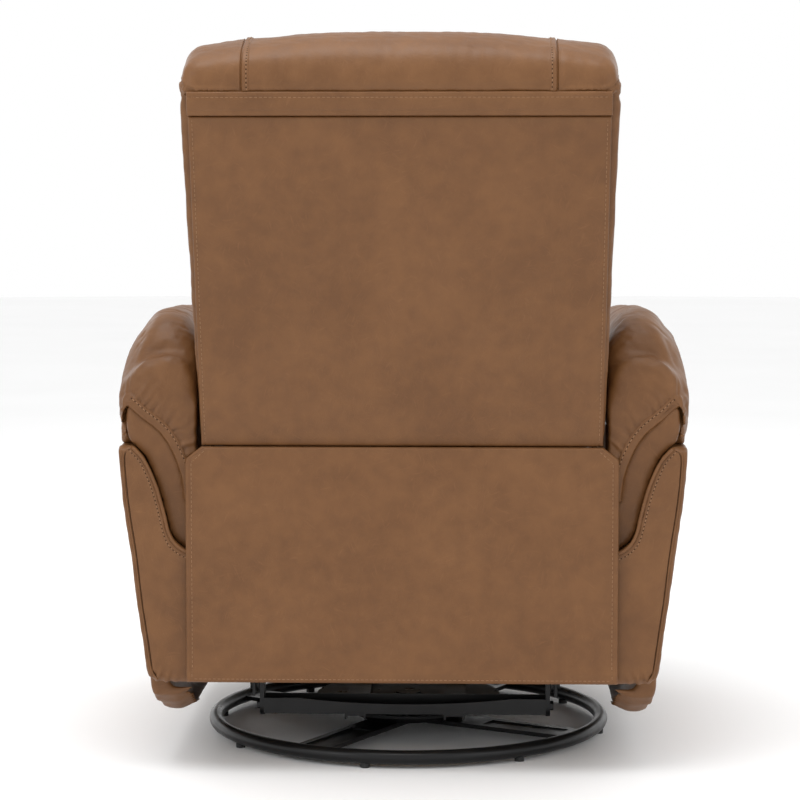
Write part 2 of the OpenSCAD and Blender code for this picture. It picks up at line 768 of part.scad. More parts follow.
// Release handle, on the inner face of the right arm
bezel_y = -250;
bezel_z = 535;
bezel_l = 100;
bezel_h = 54;
bezel_t = 4;
bezel_corner = 10;
handle_l = 60;
handle_h = 30;
handle_t = 7;
handle_rim = 8;
handle_travel = 16;
handle_low_z = 508;
stem_w = 12;
module handle_bezel() {
  l = bezel_l / 2;
  h = bezel_h / 2;
  stem_z = handle_low_z + handle_h - handle_rim;
  color("#222222") mirror([1, 0, 0]) difference() {
    translate([arm_in - bezel_t - rest_gap, bezel_y, bezel_z]) rotate([90, 0, 90])
      linear_extrude(bezel_t) polygon([
        [bezel_corner - l, -h], [l - bezel_corner, -h], [l, bezel_corner - h], [l, h - bezel_corner],
        [l - bezel_corner, h], [bezel_corner - l, h], [-l, h - bezel_corner], [-l, bezel_corner - h]
      ]);
    translate([arm_in - 2 * bezel_t, bezel_y - stem_w / 2 - rest_gap, stem_z - rest_gap])
      cube([3 * bezel_t, stem_w + 2 * rest_gap, handle_rim + handle_travel + 2 * rest_gap]);
  }
}

module release_handle() {
  x0 = arm_in - bezel_t - 2 * rest_gap - handle_t;
  color("#2a2a2a") mirror([1, 0, 0]) {
    translate([x0, bezel_y - handle_l / 2, handle_low_z]) difference() {
      cube([handle_t, handle_l, handle_h]);
      translate([-overrun, handle_rim, handle_rim])
        cube([handle_t + 2 * overrun, handle_l - 2 * handle_rim, handle_h - 2 * handle_rim]);
    }
    translate([x0 + handle_t - overrun, bezel_y - stem_w / 2, handle_low_z + handle_h - handle_rim])
      cube([bezel_t + overrun, stem_w, handle_rim]);
  }
}

// Seat, which runs on the carriage's tracks
module seat_runners() {
  top_z = runner_z + runner_h;
  foot = strut_w;
  color("#1f1f20") both_sides() {
    translate([track_x - runner_w / 2, -runner_front, runner_z])
      cube([runner_w, runner_front + runner_rear, runner_h]);
    for (y = strut_ys) {
      translate([track_x - strut_t / 2, y - strut_w / 2, top_z - overrun])
        cube([strut_t, strut_w, under_rail_z - top_z + overrun]);
      translate([track_x - foot / 2, y - strut_w / 2, under_rail_z - strut_t])
        cube([foot, strut_w, strut_t]);
    }
  }
}

module seat_frame() {
  l = frame_front + frame_rear;
  color("burlywood") {
    both_sides() translate([side_rail_in, -frame_front, frame_z])
      cube([side_rail_out - side_rail_in, l, wood_t]);
    for (y = [-frame_front, frame_rear - wood_t])
      translate([-side_rail_out, y, frame_z]) cube([2 * side_rail_out, wood_t, wood_t]);
    for (y = strut_ys) translate([-side_rail_out, y - wood_t / 2, under_rail_z])
      cube([2 * side_rail_out, wood_t, under_rail_h + overrun]);
  }
}

// One flat zigzag spring in the x-y plane, from y = 0 to y = runs * pitch
module zigzag(runs, pitch, amp, wire) {
  linear_extrude(wire) for (i = [0:runs]) {
    translate([-amp, i * pitch - wire / 2]) square([2 * amp, wire]);
    if (i < runs) {
      side = i % 2 == 0 ? 1 : -1;
      translate([side * amp, (i + 0.5) * pitch]) difference() {
        circle(d = pitch + wire);
        circle(d = pitch - wire);
        translate([side > 0 ? -pitch : 0, -pitch]) square([pitch, 2 * pitch]);
      }
    }
  }
}

module seat_springs() {
  l = frame_front + frame_rear - wood_t;
  color("#555555") for (x = seat_spring_xs)
    translate([x, wood_t / 2 - frame_front, frame_z + wood_t])
      zigzag(spring_runs, l / spring_runs, spring_amp, spring_wire);
}

// Pins of the footrest's links, in the y-z plane, closed
link_pin_d = 8;
foot_link_w = 22;
foot_link_t = 4;
foot_link_step = 6;
lift_pin_y = 330;
lift_pin_z = 300;
control_pin_y = 390;
control_pin_z = 270;
control_end_y = 370;
board_pin_y = 388;
board_pin_z = 296;
board_link_pin_y = 350;
board_link_pin_z = 190;
board_link_end_y = 384.2;
board_link_end_z = 330.5;
lift_pin = [-lift_pin_y, lift_pin_z];
control_pin = [-control_pin_y, control_pin_z];
long_pin = [-lift_pin_y, lift_pin_z - lift_l];
board_pin = [-board_pin_y, board_pin_z];
control_end = [-control_end_y, lift_pin_z - lift_l];
board_link_pin = [-board_link_pin_y, board_link_pin_z];
board_link_end = [-board_link_end_y, board_link_end_z];
side_plate_x = side_rail_out - plate_step;
control_x = side_plate_x - foot_link_step;
lift_x = control_x - foot_link_step;
board_link_x = lift_x - foot_link_step;
long_x = board_link_x - foot_link_step;
bracket_x = long_x - foot_link_step;
side_plate_front = 395;
side_plate_rear = 270;
side_plate_low_z = 254;
module seat_side_plates() {
  color("#1f1f20") both_sides() {
    difference() {
      translate([side_plate_x, -side_plate_front, side_plate_low_z])
        cube([foot_link_t, side_plate_front - side_plate_rear, frame_z - side_plate_low_z]);
      for (p = [lift_pin, control_pin])
        pin_along_x(side_plate_x - overrun, foot_link_t + 2 * overrun, link_pin_d, p);
    }
    pin_along_x(lift_x - overrun, side_plate_x + foot_link_t - lift_x + overrun, link_pin_d, lift_pin);
    pin_along_x(control_x - overrun, side_plate_x + foot_link_t - control_x + overrun, link_pin_d,
      control_pin);
    difference() {
      union() {
        translate([seat_plate_x, 0, 0]) rotate([90, 0, 90]) linear_extrude(seat_plate_t) polygon([
          [frame_rear / 2, frame_z], [frame_rear, frame_z],
          [hinge_y + hinge_eye_d / 3, hinge_z - hinge_eye_d / 3],
          [hinge_y - hinge_eye_d / 3, hinge_z + hinge_eye_d / 3],
          [frame_rear - wood_t / 2, frame_z + wood_t], [frame_rear / 2, frame_z + wood_t]
        ]);
        pin_along_x(seat_plate_x, seat_plate_t, hinge_eye_d, [hinge_y, hinge_z]);
      }
      pin_along_x(seat_plate_x - overrun, seat_plate_t + 2 * overrun, hinge_pin_d + 2 * pin_fit,
        [hinge_y, hinge_z]);
    }
  }
}

seat_crown = 14;
seat_channel_shares = [-0.45, 0.1];
module seat_cushion() {
  half_l = (seat_front + seat_rear) / 2;
  half_t = (seat_cushion_t - soft_gap) / 2;
  color("#916c4a") translate([0, (seat_rear - seat_front) / 2, seat_base_z + soft_gap + half_t])
    cushion(seat_half_w, half_l, half_t, seat_crown, cushion_draw_share, seat_channel_shares, channel_cut);
}

module recline_pins() {
  color("silver") both_sides() {
    pin_along_x(back_plate_x - overrun, seat_plate_x + seat_plate_t - back_plate_x + 2 * overrun,
      hinge_pin_d, [hinge_y, hinge_z]);
    pin_along_x(back_plate_x - overrun - steel_t, steel_t, hinge_pin_d + 2 * steel_t, [hinge_y, hinge_z]);
    pin_along_x(seat_plate_x + seat_plate_t + rest_gap, steel_t, hinge_pin_d + 2 * steel_t,
      [hinge_y, hinge_z]);
  }
}

// Back. Its pieces stand in a frame that leans with it: x across, y to the rear, z up along it,
// from the lower edge of its rear face.
module leaning() {
  translate([0, back_y, back_z]) rotate([-lean, 0, 0]) children();
}
frame_t0 = 14;
frame_t1 = 58;
stile_w = 30;
back_frame_rise = 25;
back_frame_top = rear_panel_l + back_frame_rise;
back_frame_low = 6;
bracket_top = 150;
module back_brackets() {
  color("#1f1f20") leaning() both_sides() difference() {
    union() {
      translate([back_plate_x, 0, 0]) rotate([90, 0, 90]) linear_extrude(back_plate_t) polygon([
        [-hinge_t - hinge_eye_d / 3, hinge_eye_d / 3 - hinge_drop],
        [-hinge_t + hinge_eye_d / 3, -hinge_drop - hinge_eye_d / 3],
        [-frame_t0 - hinge_eye_d / 4, back_frame_low], [-frame_t0 - hinge_eye_d / 4, bracket_top],
        [hinge_eye_d / 4 - frame_t1, bracket_top], [-frame_t1, 0]
      ]);
      pin_along_x(back_plate_x, back_plate_t, hinge_eye_d, [-hinge_t, -hinge_drop]);
    }
    pin_along_x(back_plate_x - overrun, back_plate_t + 2 * overrun, hinge_pin_d + 2 * pin_fit,
      [-hinge_t, -hinge_drop]);
  }
}

module back_frame() {
  depth = frame_t1 - frame_t0;
  color("burlywood") leaning() translate([0, -frame_t1, 0]) {
    both_sides() translate([back_plate_x - stile_w, 0, back_frame_low])
      cube([stile_w, depth, back_frame_top - back_frame_low]);
    for (z = [back_frame_low, back_frame_top - stile_w])
      translate([-back_plate_x, 0, z]) cube([2 * back_plate_x, depth, stile_w]);
  }
}

back_spring_step = 100;
back_spring_xs = [for (i = [-1.5:1.5]) i * back_spring_step];
back_spring_runs = 12;
module back_springs() {
  l = back_frame_top - back_frame_low - stile_w;
  color("#555555") leaning() for (x = back_spring_xs)
    translate([x, -frame_t1, back_frame_low + stile_w / 2]) rotate([90, 0, 0])
      zigzag(back_spring_runs, l / back_spring_runs, spring_amp, spring_wire);
}

module back_panel() {
  color("#8b6545") leaning() translate([-rear_panel_half_w, -rear_panel_t, 0])
    cube([2 * rear_panel_half_w, rear_panel_t, rear_panel_l - rest_gap]);
}

header_proud = 2;
header_over = 3.5;
header_half_w = rear_panel_half_w + header_over;
module header_band() {
  color("#8b6545") leaning() translate([-header_half_w, -rear_panel_t, rear_panel_l])
    cube([2 * header_half_w, rear_panel_t + header_proud, header_l - rest_gap]);
}

// Outline of the back's padding, as forward depth and height along the back. Below the roll the
// tables give shares of the depth and of the rear panel's length, and round the roll shares of
// the depth and of the roll's height.
pad_t = frame_t1 + spring_wire + soft_gap;
pad_corner = 3;
roll_z = rear_panel_l + header_l + soft_gap;
front_t_max = 150;
pad_low = 3;
wing_front_shares = [
  [0.8, 0.007], [0.96, 0.031], [1.02, 0.134], [1, 0.334], [0.97, 0.512], [0.95, 0.735],
  [0.94, 0.935], [0.93, 1.047]
];
wing_roll_shares = [
  [0.9, 0.4], [0.8, 0.76], [0.63, 0.95], [0.37, 1], [0.17, 0.92], [0.04, 0.74], [0, 0.46],
  [-0.02, 0.22], [-0.01, 0.01]
];
function below_roll(shares) = [for (p = shares) [p[0] * front_t_max, p[1] * rear_panel_l]];
function round_roll(shares) = [for (p = shares) [p[0] * front_t_max, roll_z + p[1] * roll_l]];
wing_skin = concat(below_roll(wing_front_shares), round_roll(wing_roll_shares));

// The wing closes behind the padding at its inner part, and behind the frame at its outer part
roll_tuck_share = 0.07;
wing_inner = concat([[pad_t, pad_low]], wing_skin, [
  [roll_tuck_share * front_t_max, roll_z], [pad_t - pad_corner, roll_z], [pad_t, roll_z - pad_corner]
]);
wing_rear_t = rear_panel_t + overrun;
wing_lip_hs = [8, 18];
wing_outer = concat([[wing_rear_t, pad_low]], wing_skin, [
  [wing_rear_t, roll_z - soft_gap], [wing_rear_t, roll_z - wing_lip_hs[0]],
  [wing_rear_t, roll_z - wing_lip_hs[1]]
]);
wing_in = back_plate_x + back_plate_t + rest_gap;
wing_width_shares = [
  [0, 1.011], [0.325, 1.011], [0.441, 1.0335], [0.739, 1.0483], [1.004, 1.0576], [2, 1.0576]
];
wing_narrow_shares = [[0, 0.89, 0.985], [0.12, 0.91, 1], [0.5, 0.88, 1], [1, 0.85, 1]];
wing_full_shares = [
  [0.03, 0.84, 1, 0], [0.4, 0.77, 0.98, 0.01], [0.72, 0.66, 0.93, 0.03], [0.92, 0.5, 0.84, 0.07],
  [1, 0.28, 0.7, 0.12]
];
roll_back_share = -0.02;
function wing_drop(z, k) = z > roll_z ? roll_z + (z - roll_z) * k : z;
function padding(t, k) = t > pad_t ? pad_t + (t - pad_t) * k : t;
module wing() {
  x0 = roll_half_w + soft_gap;
  loft(concat(
    [for (s = wing_narrow_shares) [for (p = turned(wing_inner))
      [x0 + (wing_in - x0) * s[0], -padding(p[0], s[2]), wing_drop(p[1], s[1])]]],
    [for (s = wing_full_shares) [for (p = turned(wing_outer)) let (
      half_w = rear_panel_half_w * lookup(p[1] / rear_panel_l, wing_width_shares),
      t = p[0] > pad_t ? padding(p[0], s[2]) : max(p[0], front_t_max * (roll_back_share + s[3]))
    )
      [wing_in + (half_w - wing_in) * s[0], -t, wing_drop(p[1], s[1])]]]
  ));
}
module back_wings() {
  color("#8f6a49") leaning() both_sides() wing();
}

cushion_gap = 2;
head_drop = 83;
middle_top = rear_panel_l - head_drop;
middle_l = 176;
lumbar_top = middle_top - middle_l;
head_low = middle_top + cushion_gap;
head_low_share = 0.9;
head_front_shares = [[0.94, 0.837], [0.96, 0.935], [0.96, 1.047]];
head_roll_shares = [
  [0.92, 0.4], [0.81, 0.78], [0.62, 0.95], [0.37, 1], [0.17, 0.93], [0.04, 0.75], [0, 0.46],
  [-0.02, 0.22], [-0.01, 0.01]
];
head_points = concat(
  [[pad_t, head_low], [head_low_share * front_t_max, head_low]],
  below_roll(head_front_shares), round_roll(head_roll_shares),
  [
    [roll_tuck_share * front_t_max, roll_z], [pad_t - pad_corner, roll_z],
    [pad_t, roll_z - pad_corner]
  ]
);
head_station_shares = [
  [-1, 0.9, 0.97], [-0.96, 0.925, 1], [-0.8, 0.955, 1.01], [-0.4, 0.99, 1.03], [0, 1, 1.04]
];
module head_cushion() {
  stations = concat(head_station_shares,
    [for (s = turned(head_station_shares)) if (s[0] < 0) [-s[0], s[1], s[2]]]);
  color("#8f6a49") leaning() loft([
    for (s = stations) [for (p = turned(head_points))
      [roll_half_w * s[0], -padding(p[0], s[2]), wing_drop(p[1], s[1])]]
  ]);
}

// The two lower cushions of the back, each between two heights along it
lumbar_t = 90;
middle_t = 76;
back_crown = 13;
module back_cushion(low, high, t) {
  color("#8f6a49") leaning() translate([0, -pad_t - t / 2, (low + high) / 2]) rotate([90, 0, 0])
    cushion(roll_half_w, (high - low) / 2, t / 2, back_crown, cushion_draw_share, [], 0);
}
module lumbar_cushion() { back_cushion(pad_low, lumbar_top, lumbar_t); }
module middle_cushion() { back_cushion(lumbar_top + cushion_gap, middle_top, middle_t); }

// Footrest, which folds out on links at both sides
module foot_link(x, from, to) {
  link(x, foot_link_t, foot_link_w, link_pin_d, from, to);
}

tube_drop = 40;
torque_tube_d = 16;
module lift_links() {
  color("#242425") {
    both_sides() {
      foot_link(lift_x, lift_pin, long_pin);
      pin_along_x(long_x - overrun, lift_x + overrun - long_x + overrun, link_pin_d, long_pin);
      pin_along_x(board_link_x - overrun / 2, lift_x + overrun - board_link_x + overrun / 2, link_pin_d,
        board_link_pin);
      translate([lift_x, board_link_pin[0], board_link_pin[1] - foot_link_w / 2])
        cube([foot_link_t, lift_pin[0] - board_link_pin[0], foot_link_w]);
      pin_along_x(lift_x, foot_link_t, foot_link_w, board_link_pin);
      pin_along_x(lift_x, foot_link_t, link_pin_d + 2 * overrun, long_pin);
    }
    translate([-lift_x - overrun, lift_pin[0], lift_pin[1] - tube_drop]) rotate([0, 90, 0])
      cylinder(h = 2 * lift_x + 2 * overrun, d = torque_tube_d);
  }
}

module control_links() {
  color("#242425") both_sides() foot_link(control_x, control_pin, control_end);
}

module board_links() {
  color("#242425") both_sides() foot_link(board_link_x, board_link_pin, board_link_end);
}

module long_links() {
  color("#242425") both_sides() {
    difference() {
      foot_link(long_x, long_pin, board_pin);
      pin_along_x(long_x - overrun, foot_link_t + 2 * overrun, link_pin_d + 2 * pin_fit, board_pin);
    }
    pin_along_x(bracket_x - overrun / 2, long_x + foot_link_t - bracket_x + overrun / 2, link_pin_d,
      board_pin);
    pin_along_x(long_x, foot_link_t, link_pin_d + 2 * overrun, board_pin);
  }
}

board_back = 400;
foot_board_t = 12;
board_low_z = 125;
board_share = 0.95;
board_top_gap = 4;
bracket_low = 284;
bracket_high = 360;
bracket_depth = 24;
bracket_flange = 30;
bracket_steel = 3;
module footrest_brackets() {
  h = bracket_high - bracket_low;
  color("#242425") both_sides() difference() {
    union() {
      translate([bracket_x, -board_back, bracket_low]) cube([foot_link_t, bracket_depth, h]);
      translate([bracket_x - bracket_flange, -board_back, bracket_low])
        cube([bracket_flange + overrun, bracket_steel, h]);
    }
    pin_along_x(bracket_x - overrun, foot_link_t + 2 * overrun, link_pin_d + 2 * pin_fit, board_pin);
  }
}

module footrest_board() {
  half_w = foot_half_w * board_share;
  low_z = board_low_z + overrun;
  color("burlywood") translate([-half_w, -board_back - foot_board_t, low_z])
    cube([2 * half_w, foot_board_t, seat_base_z - board_top_gap - low_z]);
}

pad_crown = 7;
pad_channel_shares = [0];
module footrest_pad() {
  color("#916c4a")
    translate([0, -board_back - foot_board_t - rest_gap - foot_pad_t / 2, board_low_z + foot_h / 2])
      rotate([90, 0, 0])
        cushion(foot_half_w, foot_h / 2, foot_pad_t / 2, pad_crown, cushion_draw_share / 2,
          pad_channel_shares, channel_cut);
}

base_ring();
cross_bars();
base_feet();
swivel_dish();
swivel_balls();
swivel_ball_cage();
swivel_pin();
swivel_plate();
glider_rails();
cross_channels();
glider_uprights();
frame_bolts();
upper_glide_pins();
front_glide_links();
rear_glide_links();
carriage_plates();
carriage_tubes();
seat_tracks();
release_cable();
rear_rails();
skirt_board();
skirt_panel();
left_arm_frame();
left_arm_pad();
left_arm_rear_roll();
left_arm_rear_band();
left_arm_side_panel();
left_arm_front_panel();
left_arm_inner_panel();
right_arm_frame();
right_arm_pad();
right_arm_rear_roll();
right_arm_rear_band();
right_arm_side_panel();
right_arm_front_panel();
right_arm_inner_panel();
handle_bezel();
release_handle();
seat_runners();
seat_frame();
seat_springs();
seat_side_plates();
seat_cushion();
recline_pins();
back_brackets();
back_frame();
back_springs();
back_panel();
header_band();
back_wings();
lumbar_cushion();
middle_cushion();
head_cushion();
lift_links();
control_links();
board_links();
long_links();
footrest_brackets();
footrest_board();
footrest_pad();
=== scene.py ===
import math

import bmesh
import bpy
import numpy as np
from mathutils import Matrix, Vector
from mathutils.bvhtree import BVHTree


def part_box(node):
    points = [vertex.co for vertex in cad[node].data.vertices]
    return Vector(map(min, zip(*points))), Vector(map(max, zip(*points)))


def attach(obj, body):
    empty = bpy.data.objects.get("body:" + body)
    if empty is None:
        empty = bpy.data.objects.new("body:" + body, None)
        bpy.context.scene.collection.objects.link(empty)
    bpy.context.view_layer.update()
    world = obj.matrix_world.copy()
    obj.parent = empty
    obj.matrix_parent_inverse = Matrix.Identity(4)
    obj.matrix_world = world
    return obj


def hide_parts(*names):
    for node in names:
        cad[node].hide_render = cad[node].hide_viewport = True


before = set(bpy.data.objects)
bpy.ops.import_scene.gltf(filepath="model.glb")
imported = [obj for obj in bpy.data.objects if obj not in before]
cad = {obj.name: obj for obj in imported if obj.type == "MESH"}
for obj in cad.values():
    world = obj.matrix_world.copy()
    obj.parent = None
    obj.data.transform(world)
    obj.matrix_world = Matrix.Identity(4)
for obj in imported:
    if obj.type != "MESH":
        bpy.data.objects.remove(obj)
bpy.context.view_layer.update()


# The camera stands behind the chair, a little to the right arm's side, and looks slightly down.
# Its distance and lens come from the ellipse that the base ring makes in the photograph.
camera = bpy.data.objects.new("camera", bpy.data.cameras.new("camera"))
bpy.context.scene.collection.objects.link(camera)
camera.data.sensor_width = 36
camera.data.lens = 113.9
camera.location = (-0.103, 3.6986, 0.8037)
aim = Vector((0.0124, 0, 0.4826))
camera.rotation_euler = (aim - camera.location).to_track_quat("-Z", "Y").to_euler()
bpy.context.scene.camera = camera


# Release cable: a thin black plastic sheath over a steel inner wire. It hangs from the right
# arm's inner panel to a bracket on the carriage's rear tube.
def made(tree, kind, inputs=None, **settings):
    n = tree.nodes.new(kind)
    for key, value in settings.items():
        setattr(n, key, value)
    for key, value in (inputs or {}).items():
        if isinstance(value, bpy.types.NodeSocket):
            tree.links.new(value, n.inputs[key])
        else:
            n.inputs[key].default_value = value
    return n


def material(name):
    m = bpy.data.materials.new(name)
    m.use_nodes = True
    tree = m.node_tree
    place = made(tree, "ShaderNodeTexCoord").outputs["Object"]
    return m, tree, tree.nodes["Principled BSDF"], place


def ramp(tree, value, stops):
    n = made(tree, "ShaderNodeValToRGB", {"Fac": value})
    while len(n.color_ramp.elements) < len(stops):
        n.color_ramp.elements.new(0.5)
    for e, (place, tone) in zip(n.color_ramp.elements, stops):
        e.position = place
        e.color = (*tone, 1) if hasattr(tone, "__len__") else (tone, tone, tone, 1)
    return n.outputs["Color"]


def driven(tree, shader, socket, value, stops):
    tree.links.new(ramp(tree, value, stops), shader.inputs[socket])


def noise(tree, place, scale, detail=2):
    inputs = {"Vector": place, "Scale": scale, "Detail": detail}
    return made(tree, "ShaderNodeTexNoise", inputs).outputs["Fac"]


def through(points, k):
    p = np.array(points, float)
    out = []
    for i in range(len(p) - 1):
        a, b, c, d = p[max(i - 1, 0)], p[i], p[i + 1], p[min(i + 2, len(p) - 1)]
        for u in np.arange(k) / k:
            out.append(b + (c - a) * u / 2 + (2 * a - 5 * b + 4 * c - d) * u * u / 2
                       + (3 * b - a - 3 * c + d) * u ** 3 / 2)
    return np.array(out + [p[-1]])


sheath, tree, shader, place = material("cable_sheath")
dull = noise(tree, place, 240, 3)
driven(tree, shader, "Base Color", dull, [(0.3, 0.012), (0.7, 0.024)])
driven(tree, shader, "Roughness", dull, [(0.3, 0.38), (0.7, 0.5)])
route = through([
    (-281, -200, 299.4), (-281, -190, 262), (-277, -160, 225), (-266, -110, 200), (-250, -60, 186),
    (-228, -25, 177), (-205, 0, 172), (-186, 15, 158), (-170, 25, 135), (-145, 32, 116),
    (-110, 37, 106), (-70, 40, 101), (-35, 40, 95), (-9, 40, 87), (12, 40, 77), (33, 40, 72),
    (55, 40, 77), (76, 41, 90), (92, 43, 108), (100, 45, 126), (101, 45, 139.6),
], 8) / 1000
line = bpy.data.curves.new("release_cable_line", "CURVE")
line.dimensions = "3D"
line.bevel_depth = 0.0015
line.bevel_resolution = 3
line.use_fill_caps = True
spline = line.splines.new("POLY")
spline.points.add(len(route) - 1)
for p, at in zip(spline.points, route):
    p.co = (*at, 1)
line.materials.append(sheath)
cable = bpy.data.objects.new("release_cable_line", line)
bpy.context.scene.collection.objects.link(cable)
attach(cable, "chair_frame")
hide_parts("release_cable")


# The floor is one pale sheet under an even white sky. Three large soft lamps hang round the chair,
# one overhead and one on each side of the camera, and a weaker pair lights the sitter's side.
floor_paint, tree, shader, place = material("floor_paint")
cloud = noise(tree, place, 1.5, 3)
driven(tree, shader, "Base Color", cloud, [(0.3, 0.93), (0.7, 0.95)])
shader.inputs["Roughness"].default_value = 0.7
floor_mesh = bpy.data.meshes.new("floor")
radius, sides = 14, 96
turns = np.linspace(0, 2 * math.pi, sides + 1)[:-1]
edge = [Vector((radius * math.cos(a), radius * math.sin(a), 0)) for a in turns]
floor_mesh.from_pydata(edge, [], [range(sides)])
floor_mesh.materials.append(floor_paint)
floor = bpy.data.objects.new("floor", floor_mesh)
bpy.context.scene.collection.objects.link(floor)

world = bpy.data.worlds.new("room")
world.use_nodes = True
world.node_tree.nodes["Background"].inputs["Color"].default_value = (1, 1, 1, 1)
world.node_tree.nodes["Background"].inputs["Strength"].default_value = 1.0
bpy.context.scene.world = world
bpy.context.scene.view_settings.view_transform = "Standard"

for name, spot, size, power in [
    ("lamp_overhead", (0.3, 0.9, 3.0), 2.2, 42),
    ("lamp_left", (2.6, 2.6, 1.9), 1.6, 13),
    ("lamp_right", (-2.6, 2.8, 1.7), 1.6, 8),
    ("lamp_front_left", (2.4, -2.8, 2.0), 1.6, 10),
    ("lamp_front_right", (-2.4, -2.8, 2.0), 1.6, 10),
]:
    lamp = bpy.data.objects.new(name, bpy.data.lights.new(name, "AREA"))
    lamp.data.shape = "DISK"
    lamp.data.size = size
    lamp.data.energy = power
    lamp.location = spot
    lamp.rotation_euler = (Vector((0, 0, 0.5)) - Vector(spot)).to_track_quat("-Z", "Y").to_euler()
    bpy.context.scene.collection.objects.link(lamp)


# Base ring, cross bars, swivel and the glider's links: steel tube and sheet, welded, then
# powder coated gloss black. The coat's gloss is slightly uneven, and its upper faces are painted a
# little lighter.
def bumped(tree, shader, height, strength, distance):
    inputs = {"Height": height, "Strength": strength, "Distance": distance}
    tree.links.new(made(tree, "ShaderNodeBump", inputs).outputs["Normal"], shader.inputs["Normal"])


def black_paint(name, gloss, top_tone):
    m, tree, shader, place = material(name)
    fine = noise(tree, place, 900)
    broad = noise(tree, place, 26, 5)
    normal = made(tree, "ShaderNodeNewGeometry").outputs["Normal"]
    up = made(tree, "ShaderNodeSeparateXYZ", {"Vector": normal})
    # Upward faces are painted a little lighter than the rest, in patches that follow the broad
    # noise.
    top = made(tree, "ShaderNodeMath", {0: up.outputs["Z"], 1: broad}, operation="MULTIPLY")
    driven(tree, shader, "Base Color", top.outputs[0], [
        (0.2, (0.004, 0.004, 0.0045)), (0.62, (top_tone, top_tone, top_tone * 0.96)),
    ])
    driven(tree, shader, "Roughness", broad, [(0.3, gloss), (0.75, gloss + 0.16)])
    bumped(tree, shader, fine, 0.12, 0.0003)
    shader.inputs["Specular IOR Level"].default_value = 0.3
    return m


def finished(names, m):
    for name in names:
        cad[name].data.materials.clear()
        cad[name].data.materials.append(m)


ring_paint = black_paint("ring_paint", 0.26, 0.009)
frame_paint = black_paint("frame_paint", 0.3, 0.009)
finished(["base_ring", "cross_bars", "swivel_dish", "swivel_plate", "swivel_pin"], ring_paint)
finished([
    "glider_rails", "cross_channels", "glider_uprights", "front_glide_links", "rear_glide_links",
    "carriage_plates", "carriage_tubes", "seat_tracks", "seat_runners", "seat_side_plates",
    "back_brackets", "lift_links", "control_links", "board_links", "long_links",
    "footrest_brackets",
], frame_paint)


# Pivot pins, swivel balls and their cage: zinc plated steel, left bare. The frame's bolts are
# blackened steel. Springs are oil tempered wire, darker than the zinc.
def bare_steel(name, dark, light, rough):
    m, tree, shader, place = material(name)
    drawn = made(tree, "ShaderNodeMapping", {"Vector": place, "Scale": (60, 900, 900)})
    grain = noise(tree, drawn.outputs["Vector"], 1, 3)
    driven(tree, shader, "Base Color", grain, [(0.3, dark), (0.7, light)])
    driven(tree, shader, "Roughness", grain, [(0.3, rough), (0.7, rough + 0.15)])
    bumped(tree, shader, grain, 0.1, 0.0002)
    shader.inputs["Metallic"].default_value = 1
    return m


zinc = bare_steel("zinc_plate", (0.42, 0.42, 0.41), (0.66, 0.66, 0.63), 0.28)
tempered_wire = bare_steel("tempered_wire", (0.1, 0.1, 0.105), (0.22, 0.215, 0.21), 0.38)
blackened = bare_steel("blackened_bolts", (0.02, 0.02, 0.022), (0.06, 0.06, 0.06), 0.4)
finished(["swivel_balls", "swivel_ball_cage", "upper_glide_pins", "recline_pins"], zinc)
finished(["seat_springs", "back_springs"], tempered_wire)
finished(["frame_bolts"], blackened)


# Feet: eight small rubber studs pushed onto the ring, matt and lightly scuffed all over.
rubber, tree, shader, place = material("foot_rubber")
scuff = noise(tree, place, 320, 4)
driven(tree, shader, "Base Color", scuff, [(0.35, 0.008), (0.7, 0.028)])
shader.inputs["Roughness"].default_value = 0.75
bumped(tree, shader, scuff, 0.3, 0.0004)
finished(["base_feet"], rubber)


# Inner frames: sawn pale hardwood rails and boards, glued and stapled, with a grain that runs
# from side to side. They show only from below and with the footrest out.
timber, tree, shader, place = material("frame_timber")
sawn = made(tree, "ShaderNodeMapping", {"Vector": place, "Scale": (7, 90, 90)}).outputs["Vector"]
warp = made(tree, "ShaderNodeTexNoise", {"Vector": place, "Scale": 9, "Detail": 3}).outputs["Color"]
bent = made(tree, "ShaderNodeVectorMath", {0: sawn, 1: warp}, operation="ADD").outputs["Vector"]
rings = noise(tree, bent, 1, 6)
driven(tree, shader, "Base Color", rings, [
    (0.3, (0.42, 0.27, 0.14)), (0.5, (0.52, 0.35, 0.2)), (0.7, (0.36, 0.22, 0.11)),
])
driven(tree, shader, "Roughness", rings, [(0.3, 0.6), (0.7, 0.8)])
bumped(tree, shader, rings, 0.25, 0.0006)
finished([
    "rear_rails", "skirt_board", "left_arm_frame", "right_arm_frame", "seat_frame", "back_frame",
    "footrest_board",
], timber)


# Release handle and its bezel: moulded black plastic with a fine spark texture.
moulded, tree, shader, place = material("moulded_plastic")
spark = noise(tree, place, 1400)
worn = noise(tree, place, 60, 4)
driven(tree, shader, "Base Color", worn, [(0.3, 0.014), (0.75, 0.026)])
driven(tree, shader, "Roughness", worn, [(0.3, 0.42), (0.75, 0.56)])
bumped(tree, shader, spark, 0.25, 0.0003)
finished(["handle_bezel", "release_handle"], moulded)


